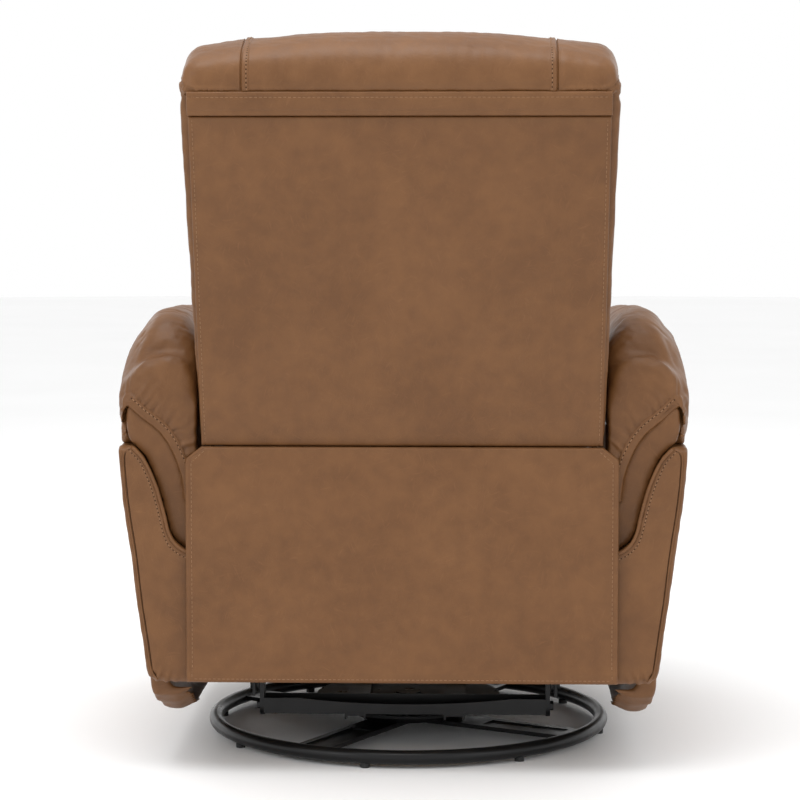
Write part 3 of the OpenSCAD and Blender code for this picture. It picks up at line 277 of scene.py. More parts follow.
# Flat rear panel of the back: warm brown coated leather over thin board, its edges turned over a
# 3 mm rim and topstitched 5 mm inside both long sides. Screwed to the back's timber frame.
def hide(name, dark, light):
    m, tree, shader, place = material(name)
    cloud = noise(tree, place, 9, 4)
    blotch = noise(tree, place, 48, 4)
    both = made(tree, "ShaderNodeMath", {0: cloud, 1: blotch}, operation="ADD").outputs[0]
    half = made(tree, "ShaderNodeMath", {0: both, 1: 0.5}, operation="MULTIPLY").outputs[0]
    tone = ramp(tree, half, [(0.36, dark), (0.64, light)])
    marks = None
    bend = made(tree, "ShaderNodeTexNoise", {"Vector": place, "Scale": 22, "Detail": 2})
    nudge = made(tree, "ShaderNodeVectorMath", {
        0: bend.outputs["Color"], "Scale": 0.016,
    }, operation="SCALE")
    bent = made(tree, "ShaderNodeVectorMath", {
        0: place, 1: nudge.outputs["Vector"],
    }, operation="ADD")
    turns = [(0.5, 0.2, 0.1), (0.3, 1.1, 0.6), (-0.4, 1.9, -0.3), (0.2, 2.6, 0.5), (1.2, 0.7, 1.5)]
    for i, turn in enumerate(turns):
        drawn = made(tree, "ShaderNodeMapping", {
            "Vector": bent.outputs["Vector"], "Rotation": turn, "Scale": (0.019, 0.019, 0.0018),
        }, vector_type="TEXTURE")
        fine = noise(tree, drawn.outputs["Vector"], 1, 1)
        sharp = ramp(tree, fine, [(0.62, 0), (0.8, 1)])
        where = noise(tree, place, 15 + 6 * i, 1)
        here = ramp(tree, where, [(0.47, 0), (0.6, 1)])
        mark = made(tree, "ShaderNodeMath", {0: sharp, 1: here}, operation="MULTIPLY").outputs[0]
        if marks is not None:
            mark = made(tree, "ShaderNodeMath", {0: marks, 1: mark}, operation="MAXIMUM").outputs[0]
        marks = mark
    pale = tuple(c * 1.35 + 0.01 for c in light)
    faint = made(tree, "ShaderNodeMath", {0: marks, 1: 0.26}, operation="MULTIPLY").outputs[0]
    worn = made(tree, "ShaderNodeMix", {
        "Factor": faint, "A": tone, "B": (*pale, 1),
    }, data_type="RGBA")
    tree.links.new(worn.outputs["Result"], shader.inputs["Base Color"])
    driven(tree, shader, "Roughness", blotch, [(0.3, 0.43), (0.72, 0.54)])
    pebble = made(tree, "ShaderNodeTexVoronoi", {
        "Vector": place, "Scale": 620,
    }, feature="SMOOTH_F1")
    grain = made(tree, "ShaderNodeBump", {
        "Height": pebble.outputs["Distance"], "Strength": 0.22, "Distance": 0.0004,
    })
    crease = made(tree, "ShaderNodeTexNoise", {
        "Vector": place, "Scale": 130, "Detail": 5, "Distortion": 1.2,
    })
    worked = made(tree, "ShaderNodeBump", {
        "Height": crease.outputs["Fac"], "Strength": 0.2, "Distance": 0.0012,
        "Normal": grain.outputs["Normal"],
    })
    scored = made(tree, "ShaderNodeBump", {
        "Height": marks, "Strength": 0.06, "Distance": -0.0003, "Normal": worked.outputs["Normal"],
    })
    tree.links.new(scored.outputs["Normal"], shader.inputs["Normal"])
    shader.inputs["Specular IOR Level"].default_value = 0.36
    return m


def hung(name, mesh, body):
    o = bpy.data.objects.new(name, mesh)
    bpy.context.scene.collection.objects.link(o)
    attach(o, body)
    return o


def put(name, verts, faces, m, body, replaced=()):
    mesh = bpy.data.meshes.new(name)
    mesh.from_pydata([tuple(v) for v in verts], [], [tuple(int(i) for i in f) for f in faces])
    mesh.validate()
    mesh.materials.append(m)
    mesh.shade_smooth()
    o = hung(name, mesh, body)
    if replaced:
        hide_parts(*replaced)
    return o


def rolling(co, wavelength, seed, stretch=(1, 1, 1)):
    rng = np.random.default_rng(seed)
    way = rng.normal(size=(12, 3))
    way /= np.linalg.norm(way, axis=1, keepdims=True)
    wave = way * 2 * np.pi / (wavelength * rng.uniform(0.65, 1.6, (12, 1)))
    return np.sin((co / np.array(stretch)) @ wave.T + rng.uniform(0, 6.28, 12)).sum(1) / 12 ** 0.5


def bell(d, wide):
    return np.exp(-(d / wide) ** 2)


def fading(d, wide):
    return np.exp(-np.clip(d, 0, 1) / wide)


def waves(along, pitch, shift=0.0):
    return np.sin(along * 6.28 / pitch + shift)


def grid(rows, columns):
    return [(i * columns + j, i * columns + j + 1, (i + 1) * columns + j + 1, (i + 1) * columns + j)
            for i in range(rows - 1) for j in range(columns - 1)]


def slab(half, low, high, thick, place, rim=0.003, seams=(), seed=1, ripple=0.0005, inset=0.007):
    near = np.array([
        0, 0.3, 0.8, 1.5, 2.4, 3.4, 4.6, 5.6, 6.3, 7, 7.7, 8.4, 9.6, 12, 16, 22,
    ]) / 1000
    margin = near[-1]
    inner = np.linspace(0, 1, 42)[1:-1]
    middle = low + margin + (high - low - 2 * margin) * inner
    rows = np.unique(np.concatenate([low + near, middle, high - near]).round(6))
    stitch_pitch = 0.0065
    verts = []
    for v in rows:
        w = half(v)
        us = np.concatenate([-w + near, (w - margin) * (2 * inner - 1), w - near[::-1]])
        side = w - abs(us)
        end = min(v - low, high - v)
        turn = [rim - (max(rim ** 2 - max(rim - d, 0) ** 2, 0)) ** 0.5 for d in (*side, end)]
        depth = np.minimum(np.array(turn[:-1]) + turn[-1], rim * 1.3)
        for across, sink, wide in seams:
            d = side if across else np.full(len(us), end)
            pucker = 1 + 0.35 * waves(v if across else us, stitch_pitch)
            depth += sink * bell(d - inset, wide) * pucker
        flat = np.stack([us, np.full(len(us), v), np.zeros(len(us))], 1)
        depth -= ripple * rolling(flat, 0.09, seed) * np.clip(np.minimum(side, end) / 0.03, 0, 1)
        verts += [(u, v, d) for u, d in zip(us, depth)]
    n = len(rows)
    m = len(verts) // n
    faces = grid(n, m)
    loop = [*range(m), *[i * m + m - 1 for i in range(1, n)],
            *[(n - 1) * m + j for j in range(m - 2, -1, -1)], *[i * m for i in range(n - 2, 0, -1)]]
    back = len(verts)
    verts += [(verts[i][0], verts[i][1], thick) for i in loop]
    k = len(loop)
    faces += [(loop[(i + 1) % k], loop[i], back + i, back + (i + 1) % k) for i in range(k)]
    faces.append(tuple(back + i for i in range(k)))
    return [place(*v) for v in verts], faces


back_tilt = math.radians(14)
back_y, back_z = 0.3215, 0.448


def leaning(x, t, h):
    y = back_y - t * math.cos(back_tilt) + h * math.sin(back_tilt)
    return (x, y, back_z + t * math.sin(back_tilt) + h * math.cos(back_tilt))


def surface(*objects):
    verts, faces = [], []
    for o in objects:
        start = len(verts)
        verts += [v.co.copy() for v in o.data.vertices]
        faces += [[start + i for i in p.vertices] for p in o.data.polygons]
    return BVHTree.FromPolygons(verts, faces)


def spaced(path, pitch):
    path = np.array(path, float)
    run = np.concatenate([[0], np.cumsum(np.linalg.norm(np.diff(path, axis=0), axis=1))])
    at = np.linspace(0, run[-1], max(int(run[-1] / pitch), 1) + 1)
    return np.stack([np.interp(at, run, path[:, k]) for k in range(3)], 1)


def rod(rings, sides, start=0):
    last = start + (rings - 1) * sides
    faces = [(a + q, a + (q + 1) % sides, a + sides + (q + 1) % sides, a + sides + q)
             for a in range(start, last, sides) for q in range(sides)]
    faces.append(tuple(range(start + sides - 1, start - 1, -1)))
    faces.append(tuple(range(last, last + sides)))
    return faces


def stitched(name, paths, tree, body, look=None, pitch=0.0062, length=0.0038, width=0.0011):
    reach, sides, hole_shade_sides, hole_shade_lift = 0.06, 6, 8, 0.00012
    profile = [
        (-0.5, 0.25, -0.5), (-0.38, 0.8, 0.1), (0, 1, 0.35), (0.38, 0.8, 0.1), (0.5, 0.25, -0.5),
    ]
    verts, faces, hole_shade_faces = [], [], []
    for path in paths:
        points = []
        for p in spaced(path, pitch):
            hit = (None,)
            if look:
                hit = tree.ray_cast(Vector(p) - Vector(look) * reach, Vector(look), 2 * reach)
            if hit[0] is None:
                hit = tree.find_nearest(Vector(p))
            points.append((np.array(hit[0]), np.array(hit[1])))
        for (a, na), (b, nb) in zip(points, points[1:]):
            t = b - a
            size = np.linalg.norm(t)
            if size < 0.3 * pitch or size > 1.8 * pitch:
                continue
            t /= size
            n = na + nb
            n -= t * (n @ t)
            n /= np.linalg.norm(n)
            e = np.cross(t, n)
            faces += rod(len(profile), sides, len(verts))
            for along, fat, up in profile:
                c = (a + b) / 2 + t * along * length
                for q in range(sides):
                    w = math.tau * q / sides
                    verts.append(c + n * width * (up + fat * 0.5 * math.sin(w))
                                 + e * width * fat * 0.5 * math.cos(w))
            # A small near black disc at each stitch end is painted shade for the needle hole.
            hole_shade_faces.append(tuple(len(verts) + q for q in range(hole_shade_sides - 1, -1, -1)))
            for q in range(hole_shade_sides):
                w = math.tau * q / hole_shade_sides
                verts.append(a + n * hole_shade_lift + t * width * math.cos(w)
                             + e * width * 0.8 * math.sin(w))
    mesh = bpy.data.meshes.new(name)
    mesh.from_pydata([tuple(v) for v in verts], [], [tuple(f) for f in faces + hole_shade_faces])
    mesh.materials.append(thread)
    mesh.materials.append(needle_hole_shade)
    mesh.shade_smooth()
    for p in mesh.polygons[len(faces):]:
        p.material_index = 1
    return hung(name, mesh, body)


leather = hide("brown_leather", (0.126, 0.051, 0.0145), (0.166, 0.071, 0.0225))
thread, tree, shader, place = material("tan_thread")
twist = noise(tree, place, 1600)
driven(tree, shader, "Base Color", twist, [(0.3, (0.20, 0.10, 0.045)), (0.7, (0.36, 0.20, 0.10))])
shader.inputs["Roughness"].default_value = 0.7
bumped(tree, shader, twist, 0.5, 0.0003)
# Near black brown for needle holes and the corner seam line: painted shade for the dark inside each
# hole and seam groove.
needle_hole_shade, tree, shader, place = material("needle_hole_shade")
dull = noise(tree, place, 400)
driven(tree, shader, "Base Color", dull, [(0.3, (0.03, 0.014, 0.007)), (0.7, (0.05, 0.024, 0.012))])
shader.inputs["Roughness"].default_value = 0.8
shader.inputs["Specular IOR Level"].default_value = 0.1

verts, faces = slab(lambda v: 0.2697 + 0.007 * v, -0.0004, 0.4508, 0.008,
                    lambda u, v, d: leaning(u, d, v), seams=[(True, 0.0006, 0.0016)],
                    seed=3, inset=0.0052)
back_panel = put("rear_panel", verts, faces, leather, "back", ["back_panel"])
stitched("rear_panel_stitches", [
    [leaning(s * 0.2645, 0, 0.002), leaning(s * 0.2676, 0, 0.449)] for s in (-1, 1)
], surface(back_panel), "back")


# Header band: one strip of leather over the top rail, 32 mm high. It stands 3 to 5 mm proud of the
# rear panel, its lower lip is turned under, and it is topstitched just below the roll's seam.
def header_place(u, v, d):
    swell = 1 - (abs(v - 0.465) / 0.0165) ** 3
    return leaning(u, d - 0.0034 - 0.0012 * max(swell, 0), v)


verts, faces = slab(lambda v: 0.2735, 0.4522, 0.4838, 0.010, header_place, rim=0.0024,
                    seams=[(False, 0.0005, 0.0013)], seed=5, ripple=0.0003)
band = put("header_strip", verts, faces, leather, "back", ["header_band"])
stitched("header_stitches", [
    [leaning(s * 0.268, -0.004, 0.4768) for s in (-1, 1)]
], surface(band), "back")


# Sides and head roll of the back: padded covers over foam, sewn together and drawn round the
# frame. A seam with a topstitched strip parts the roll's middle panel from each corner.
def softened(name, nodes, voxel, rounds, body):
    verts, faces = [], []
    for n in nodes:
        start = len(verts)
        verts += [tuple(v.co) for v in cad[n].data.vertices]
        faces += [tuple(start + i for i in p.vertices) for p in cad[n].data.polygons]
    rough = bpy.data.meshes.new(name)
    rough.from_pydata(verts, [], faces)
    o = bpy.data.objects.new(name, rough)
    bpy.context.scene.collection.objects.link(o)
    mod = o.modifiers.new("remesh", "REMESH")
    mod.mode = "VOXEL"
    mod.voxel_size = voxel
    baked(o)
    smoothed(o, (0.55, -0.57) * rounds)
    o.data.materials.clear()
    o.data.materials.append(leather)
    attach(o, body)
    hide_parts(*nodes)
    return o


def baked(o):
    bpy.context.view_layer.update()
    whole = bpy.data.meshes.new_from_object(o.evaluated_get(bpy.context.evaluated_depsgraph_get()))
    o.modifiers.clear()
    o.data = whole
    whole.name = o.name


def points_of(o):
    co = np.empty(len(o.data.vertices) * 3)
    o.data.vertices.foreach_get("co", co)
    return co.reshape(-1, 3)


def normals_of(o):
    n = np.empty(len(o.data.vertices) * 3)
    o.data.vertices.foreach_get("normal", n)
    return n.reshape(-1, 3)


def move_to(o, co):
    o.data.vertices.foreach_set("co", co.ravel())
    o.data.update()


def smoothed(o, pulls):
    co = points_of(o)
    link = np.array([e.vertices[:] for e in o.data.edges])
    count = np.bincount(link.ravel(), minlength=len(co))[:, None]
    for pull in pulls:
        total = np.zeros_like(co)
        np.add.at(total, link[:, 0], co[link[:, 1]])
        np.add.at(total, link[:, 1], co[link[:, 0]])
        co += pull * (total / count - co)
    move_to(o, co)


def filled(o, sewn, cap, start=0.003, frames=20):
    before = points_of(o)
    inward = before - start * normals_of(o) * (1 - sewn[:, None])
    move_to(o, inward)
    group = o.vertex_groups.new(name="sewn")
    for i in np.nonzero(sewn > 0.02)[0]:
        group.add([int(i)], float(sewn[i]), "REPLACE")
    mod = o.modifiers.new("cloth", "CLOTH")
    mod.settings.quality = 4
    mod.settings.mass = 0.4
    mod.settings.tension_stiffness = 18
    mod.settings.compression_stiffness = 18
    mod.settings.shear_stiffness = 6
    mod.settings.bending_stiffness = 0.6
    mod.settings.use_pressure = True
    mod.settings.uniform_pressure_force = 4
    mod.settings.effector_weights.gravity = 0
    mod.settings.vertex_group_mass = "sewn"
    mod.collision_settings.use_collision = False
    mod.point_cache.frame_start = 1
    mod.point_cache.frame_end = frames
    for f in range(1, frames + 1):
        bpy.context.scene.frame_set(f)
    baked(o)
    bpy.context.scene.frame_set(1)
    move = points_of(o) - before
    size = np.linalg.norm(move, axis=1, keepdims=True)
    move_to(o, before + move * np.minimum(1, cap / np.maximum(size, 1e-9)))


def held(o, nodes, over, under, loose=0.0):
    reach = 0.03
    tree = surface(*[cad[n] for n in nodes])
    co = points_of(o)
    under = under + loose * np.ones(len(co))
    for i, p in enumerate(co):
        at, n, _, _ = tree.find_nearest(Vector(p))
        out = (Vector(p) - at).dot(n)
        if out > over or -reach < out < -under[i]:
            co[i] = np.array(at + n * (over if out > over else -under[i]))
    move_to(o, co)


def finer(o):
    mod = o.modifiers.new("finer", "SUBSURF")
    mod.levels = mod.render_levels = 1
    baked(o)
    o.data.shade_smooth()


def eased(o, weight, rounds):
    smoothed(o, [0.6 * weight[:, None]] * rounds)


def near_line(co, path):
    path = np.array(path, float)
    best = np.full(len(co), np.inf)
    along = np.zeros(len(co))
    run = 0.0
    for a, b in zip(path, path[1:]):
        ab = b - a
        size = np.linalg.norm(ab)
        u = np.clip((co - a) @ ab / size ** 2, 0, 1)
        d = np.linalg.norm(co - a - u[:, None] * ab, axis=1)
        closer = d < best
        best[closer] = d[closer]
        along[closer] = run + u[closer] * size
        run += size
    return best, along


def sliced(o, at, normal, offsets):
    b = bmesh.new()
    b.from_mesh(o.data)
    for d in offsets:
        bmesh.ops.bisect_plane(b, geom=b.verts[:] + b.edges[:] + b.faces[:], dist=1e-6,
                               plane_co=Vector(at) + Vector(normal) * d, plane_no=normal)
    b.to_mesh(o.data)
    b.free()


def in_back(co):
    y, z = co[:, 1] - back_y, co[:, 2] - back_z
    sin, cos = math.sin(back_tilt), math.cos(back_tilt)
    return co[:, 0], z * sin - y * cos, y * sin + z * cos


def step(v, a, b):
    u = np.clip((v - a) / (b - a), 0, 1)
    return u * u * (3 - 2 * u)


seam_x = 0.203
roll = softened("head_roll_and_sides", ["back_wings", "head_cushion"], 0.0056, 3, "back")
x, t, h = in_back(points_of(roll))
tight = np.maximum.reduce([
    bell(abs(x) - seam_x, 0.006) * (h > 0.36), (t < 0.06) & (h < 0.47), h < 0.02,
    (abs(h - 0.484) < 0.006) & (t < 0.02),
])
filled(roll, tight, cap=0.022)
held(roll, ["back_wings", "head_cushion"], 0.003, 0.003)
x, t, h = in_back(points_of(roll))
eased(roll, step(h, 0.492, 0.503) * (t < 0.06), 14)
p = points_of(roll)
x, t, h = in_back(p)
drop = np.interp(abs(x), [0.10, 0.122, 0.161, 0.227, 0.249, 0.28],
                 [0, 0.0002, 0.0022, 0.0044, 0.006, 0.006]) * step(h, 0.495, 0.54)
shift = np.maximum(0.0018 - t, 0) * (h < 0.4825) * (t < 0.0018)
p[:, 1] -= drop * math.sin(back_tilt) + shift * math.cos(back_tilt)
p[:, 2] += shift * math.sin(back_tilt) - drop * math.cos(back_tilt)
move_to(roll, p)
for s in (-1, 1):
    cuts = [k * s / 1000 for k in (-10.8, -9.4, -8, -6.4, -4, -2, -0.9, 0, 0.9, 2.2, 4.5)]
    sliced(roll, (s * seam_x, 0, 0), (1, 0, 0), cuts)
finer(roll)
co, n = points_of(roll), normals_of(roll)
x, t, h = in_back(co)
d = seam_x - abs(x)
on_roll = step(h, 0.40, 0.43) * np.where((h < 0.4835) & (t < 0.02), 0, 1)
strip = 0.0010 * step(d, 0.0005, 0.003) * (1 - step(d, 0.0092, 0.0106))
move = on_roll * (-0.0026 * bell(d, 0.0011) + strip)
move -= on_roll * 0.0009 * bell(d + 0.0035, 0.003)
low = fading(h - 0.483, 0.011) * (h > 0.478) * (t < 0.03)
folds = waves(abs(x), 0.0105, 1.5 * rolling(co, 0.03, 4))
move += low * 0.0008 * np.where(d < -0.02, 1, 0.1) * folds
flat = np.stack([abs(x), 0 * x, h], 1)
for tuck in (
    [(0.283, 0, 0.4945), (0.272, 0, 0.4885), (0.264, 0, 0.4845)],
    [(0.2795, 0, 0.489), (0.27, 0, 0.4845)],
):
    near = near_line(flat, tuck)[0]
    move -= 0.0022 * bell(near, 0.0013) * (t < 0.03)
    move += 0.0008 * bell(near - 0.003, 0.002) * (t < 0.03)
move += 0.0004 * rolling(co, 0.07, 11) + 0.00022 * rolling(co, 0.014, 12, (1, 1, 2.5))
co += n * move[:, None]
move_to(roll, co)
roll_tree = surface(roll)
over = [
    (-0.002, 0.4835), (-0.002, 0.497), (0, 0.512), (0.006, 0.531), (0.0255, 0.543),
    (0.0555, 0.5485), (0.093, 0.545), (0.1215, 0.533), (0.138, 0.508), (0.144, 0.47),
    (0.144, 0.42), (0.141, 0.385),
]
stitched("head_roll_stitches", [
    [leaning(s * (seam_x - 0.0072), t, h) for t, h in over] for s in (-1, 1)
], roll_tree, "back", pitch=0.0058)


# Lumbar and middle cushions: foam in sewn covers, held to the back's frame. Each has a crowned
# face, sides drawn in between its corners, and a corded seam round the face.
def tube(path, radius, sides=8):
    path = np.array(path, float)
    ahead = np.gradient(path, axis=0)
    ahead /= np.linalg.norm(ahead, axis=1, keepdims=True)
    skew = [0.31, 0.74, 0.6]
    up = np.cross(ahead[0], skew)
    verts = []
    for p, t in zip(path, ahead):
        up = up - t * (up @ t)
        up /= np.linalg.norm(up)
        e = np.cross(t, up)
        for w in [math.tau * q / sides for q in range(sides)]:
            verts.append(p + radius * (math.cos(w) * up + math.sin(w) * e))
    return verts, rod(len(path), sides)


def evened(line, rounds):
    line = np.array(line)
    for _ in range(rounds):
        line[1:-1] = (line[:-2] + 2 * line[1:-1] + line[2:]) / 4
    return line


def corded(name, paths, tree, body, radius=0.0024, sink=0.0006, pitch=0.004, m=None):
    verts, faces = [], []
    for path in paths:
        line = []
        for p in spaced(path, pitch):
            at, n, _, _ = tree.find_nearest(Vector(p))
            line.append(np.array(at + n * (radius - sink)))
        v, f = tube(evened(line, 4), radius)
        start = len(verts)
        verts += v
        faces += [tuple(start + i for i in face) for face in f]
    return put(name, verts, faces, m or leather, body)


def frame_line(a, b, k=5, count=72):
    w = np.linspace(0, math.tau, count + 1)
    c, s = np.cos(w), np.sin(w)
    return a * np.sign(c) * abs(c) ** (2 / k), b * np.sign(s) * abs(s) ** (2 / k)


for name, node, low_h, high_h, deep, seed in [
    ("lumbar_pad", "lumbar_cushion", 0.003, 0.190, 0.090, 21),
    ("middle_pad", "middle_cushion", 0.192, 0.366, 0.076, 22),
]:
    pad = softened(name, [node], 0.006, 2, "back")
    x, t, h = in_back(points_of(pad))
    seam_t = 0.0625 + 0.72 * deep
    mid = (low_h + high_h) / 2
    edge = np.maximum(abs(x) / 0.2, abs(h - mid) / ((high_h - low_h) / 2 - 0.003))
    tight = np.maximum((t < 0.085) * 1.0, bell(t - seam_t, 0.006) * (edge > 0.93))
    filled(pad, tight, cap=0.026)
    held(pad, [node], 0.004, 0.004)
    finer(pad)
    co, n = points_of(pad), normals_of(pad)
    x, _, h = in_back(co)
    corner = (abs(x) / 0.2) ** 4 * (abs(h - mid) / (high_h - mid)) ** 4
    move = 0.0008 * rolling(co, 0.06, seed)
    move += 0.0005 * (1 + 3 * corner) * rolling(co, 0.022, seed + 5, (0.6, 1, 2))
    co += n * move[:, None]
    move_to(pad, co)
    us, vs = frame_line(0.1995, (high_h - low_h) / 2 - 0.004)
    line = [leaning(u, seam_t, mid + v) for u, v in zip(us, vs)]
    corded(name + "_cord", [line], surface(pad), "back")


# Seat cushion: a foam block with springs below and a crowned, quilted cover. Two sewn channels
# cross it, and a corded seam runs round its top edge. It rests on the seat's timber frame.
seat = softened("seat_pad", ["seat_cushion"], 0.007, 2, "seat")
channels = [-0.2608, -0.0967]
seat_y, seam_z = -0.1265, 0.467
p = points_of(seat)
rim = np.maximum(abs(p[:, 0]) / 0.268, abs(p[:, 1] - seat_y) / 0.295)
tight = np.maximum.reduce([
    *[bell(p[:, 1] - y, 0.006) * (p[:, 2] > 0.46) for y in channels],
    (p[:, 2] < 0.42) * 1.0, bell(p[:, 2] - seam_z, 0.006) * (rim > 0.96),
])
filled(seat, tight, cap=0.028)
held(seat, ["seat_cushion"], 0.004, 0.004)
for y in channels:
    sliced(seat, (0, y, 0), (0, 1, 0), [k / 1000 for k in (-9, -6, -3.6, -1.8, 0, 1.8, 3.6, 6, 9)])
finer(seat)
co, n = points_of(seat), normals_of(seat)
top = step(co[:, 2], 0.455, 0.47)
gap = np.minimum(*[abs(co[:, 1] - y) for y in channels])
move = -0.0042 * bell(gap, 0.0026) * top
move += 0.0016 * top * bell(gap, 0.016) * rolling(co, 0.02, 31, (0.7, 2.2, 1))
move += 0.0011 * rolling(co, 0.09, 32) + 0.0004 * rolling(co, 0.02, 33)
co += n * move[:, None]
move_to(seat, co)
seat_tree = surface(seat)
stitched("seat_stitches", [
    [(-0.262, y + d, 0.49), (-0.13, y + d, 0.5), (0.13, y + d, 0.5), (0.262, y + d, 0.49)]
    for y in channels for d in (-0.0055, 0.0055)
], seat_tree, "seat", look=(0, 0, -1))
us, vs = frame_line(0.2675, 0.2945)
corded("seat_cord", [[(u, seat_y + v, seam_z) for u, v in zip(us, vs)]], seat_tree, "seat")


# Arm pads: thick foam rolls in soft leather that run along each arm and turn down at the rear.
# The rear end is gathered into a curved seam with a topstitched strip along it, and a shallow
# seam runs forwards from there along the outer edge.
def flipped(o, name, nodes):
    twin = bpy.data.objects.new(name, o.data.copy())
    twin.data.name = name
    bpy.context.scene.collection.objects.link(twin)
    move_to(twin, points_of(o) * np.array([-1, 1, 1]))
    twin.data.flip_normals()
    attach(twin, "chair_frame")
    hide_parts(*nodes)
    return twin


arm_inner, arm_width = 0.276, 0.109
arm_z, arm_height = 0.447, 0.184


def arm(share, rise, y):
    return (arm_inner + arm_width * share, y, arm_z + arm_height * rise)


gather = through([arm(*p, 0.312) for p in [
    (0.86, 0.32), (0.706, 0.235), (0.477, 0.126), (0.339, 0.022), (0.229, -0.12), (0.165, -0.251),
    (0.138, -0.404),
]], 8)


def beside(path, d):
    side = np.gradient(path, axis=0)
    side = np.stack([side[:, 2], 0 * side[:, 1], -side[:, 0]], 1)
    return path + d * side / np.linalg.norm(side, axis=1, keepdims=True)


def taped(name, path, tree, s):
    pitch, thick, behind, reach, fallback = 0.003, 0.004, 0.36, 0.09, 0.309
    path = spaced(path, pitch)
    across = [(-0.0062, -0.0075), (-0.0042, -0.002), (-0.003, 0.0006), (-0.0016, 0.0012),
              (0.0014, 0.0007), (0.005, 0.0014), (0.0086, 0.0007), (0.0104, 0.001),
              (0.0112, -0.0003), (0.0114, -0.002)]
    rows = []
    for d, lift in across:
        row = []
        for p in beside(path, max(d, 0.0016)) * [s, 1, 1]:
            hit = tree.ray_cast(Vector((p[0], behind, p[2])), Vector((0, -1, 0)), reach)
            row.append(hit[0].y if hit[0] is not None else fallback)
        spot = beside(path, d) * [s, 1, 1]
        along = np.arange(len(path)) * pitch
        spot[:, 1] = (evened(row, 6) + lift
                      + 0.0003 * waves(along, 0.0062) * (0.001 < d < 0.009))
        rows.append(spot)
    m, n = len(rows), len(path)
    verts = [p for row in rows for p in row]
    faces = grid(m, n)
    verts += [p - np.array([0, thick, 0]) for row in (rows[0], rows[-1]) for p in row]
    a, b = m * n, m * n + n
    faces += [(a + j, a + j + 1, j + 1, j) for j in range(n - 1)]
    faces += [((m - 1) * n + j, (m - 1) * n + j + 1, b + j + 1, b + j) for j in range(n - 1)]
    faces += [(b + j, b + j + 1, a + j + 1, a + j) for j in range(n - 1)]
    faces.append((a, *[i * n for i in range(m)], b))
    faces.append((b + n - 1, *[i * n + n - 1 for i in range(m - 1, -1, -1)], a + n - 1))
    if s < 0:
        faces = [f[::-1] for f in faces]
    return put(name, verts, faces, leather, "chair_frame")


left_pad = softened("left_arm_cushion", ["left_arm_pad", "left_arm_rear_roll"], 0.0056, 4,
                    "chair_frame")
p = points_of(left_pad)
near = near_line(p * [1, 0, 1], gather * [1, 0, 1])[0]
tight = np.maximum.reduce([
    (p[:, 2] < 0.455) * (p[:, 1] < 0.28) * 1.0,
    (p[:, 0] < 0.281) * (p[:, 2] < 0.52) * 1.0,
    (p[:, 1] < -0.378) * 1.0,
    bell(near, 0.009) * (p[:, 1] > 0.286),
])
filled(left_pad, tight, cap=0.02)
p = points_of(left_pad)
shoulder = step(p[:, 1], 0.20, 0.25) * step(p[:, 2], 0.50, 0.53)
eased(left_pad, shoulder, 20)
held(left_pad, ["left_arm_pad", "left_arm_rear_roll"], 0.004, 0.0025, loose=0.004 * shoulder)
eased(left_pad, shoulder, 3)
p = points_of(left_pad)
p[:, 0] = np.maximum(p[:, 0], 0.2757)
move_to(left_pad, p)
outer_seam = through([arm(*p) for p in [
    (0.87, 0.33, 0.312), (0.892, 0.37, 0.308), (0.89, 0.51, 0.296), (0.88, 0.63, 0.28),
    (0.86, 0.765, 0.25), (0.88, 0.88, 0.2), (0.92, 0.915, 0.1), (0.93, 0.915, -0.1),
]], 8)
right_pad = flipped(left_pad, "right_arm_cushion", ["right_arm_pad", "right_arm_rear_roll"])
for pad, s, seed in [(left_pad, 1, 41), (right_pad, -1, 42)]:
    finer(pad)
    co, n = points_of(pad), normals_of(pad)
    q = co * [s, 1, 1]
    near, along = near_line(q * [1, 0, 1], gather * [1, 0, 1])
    rear = step(co[:, 1], 0.262, 0.285)
    wobble = rolling(co, 0.03, seed)
    folds = 0.6 * waves(along, 0.0125, 1.3 * wobble) + 0.4 * waves(along, 0.0074, 2 * wobble)
    reach = step(near, 0.010, 0.014) * fading(near - 0.013, 0.013)
    move = rear * (0.0032 * reach * folds - 0.0014 * bell(near - 0.0125, 0.0016))
    near = near_line(q, outer_seam)[0]
    move -= 0.0022 * bell(near, 0.0022)
    move += 0.0008 * bell(near - 0.006, 0.003)
    top = step(co[:, 2], 0.54, 0.60)
    creased = np.clip(rolling(co, 0.016, seed + 2, (4.5, 0.8, 1.5)) - 0.35, 0, 2)
    move += (0.0009 * rolling(co, 0.08, seed + 3) - 0.0011 * top * creased
             + 0.00022 * rolling(co, 0.014, seed + 4))
    co += n * move[:, None]
    move_to(pad, co)
    name = "left_arm" if s > 0 else "right_arm"
    tree = surface(pad)
    strip = taped(name + "_gather_strip", gather, tree, s)
    stitched(name + "_gather_stitches", [beside(gather, 0.0072) * [s, 1, 1]], surface(strip),
             "chair_frame", look=(0, -1, 0), length=0.0044)


# Rear bands: a padded strip fills the space between each pad's gathered seam and the side
# panel's welt. It is stapled to the arm's timber frame and sits lower than both.
left_band = softened("left_arm_band", ["left_arm_rear_band"], 0.004, 3, "chair_frame")
finer(left_band)
right_band = flipped(left_band, "right_arm_band", ["right_arm_rear_band"])
for piece, seed in [(left_band, 51), (right_band, 52)]:
    co, n = points_of(piece), normals_of(piece)
    move = 0.0005 * rolling(co, 0.05, seed) + 0.00015 * rolling(co, 0.014, seed + 2)
    co += n * (move[:, None] + np.array([0.0017, 0, 0.0017]))
    move_to(piece, co)
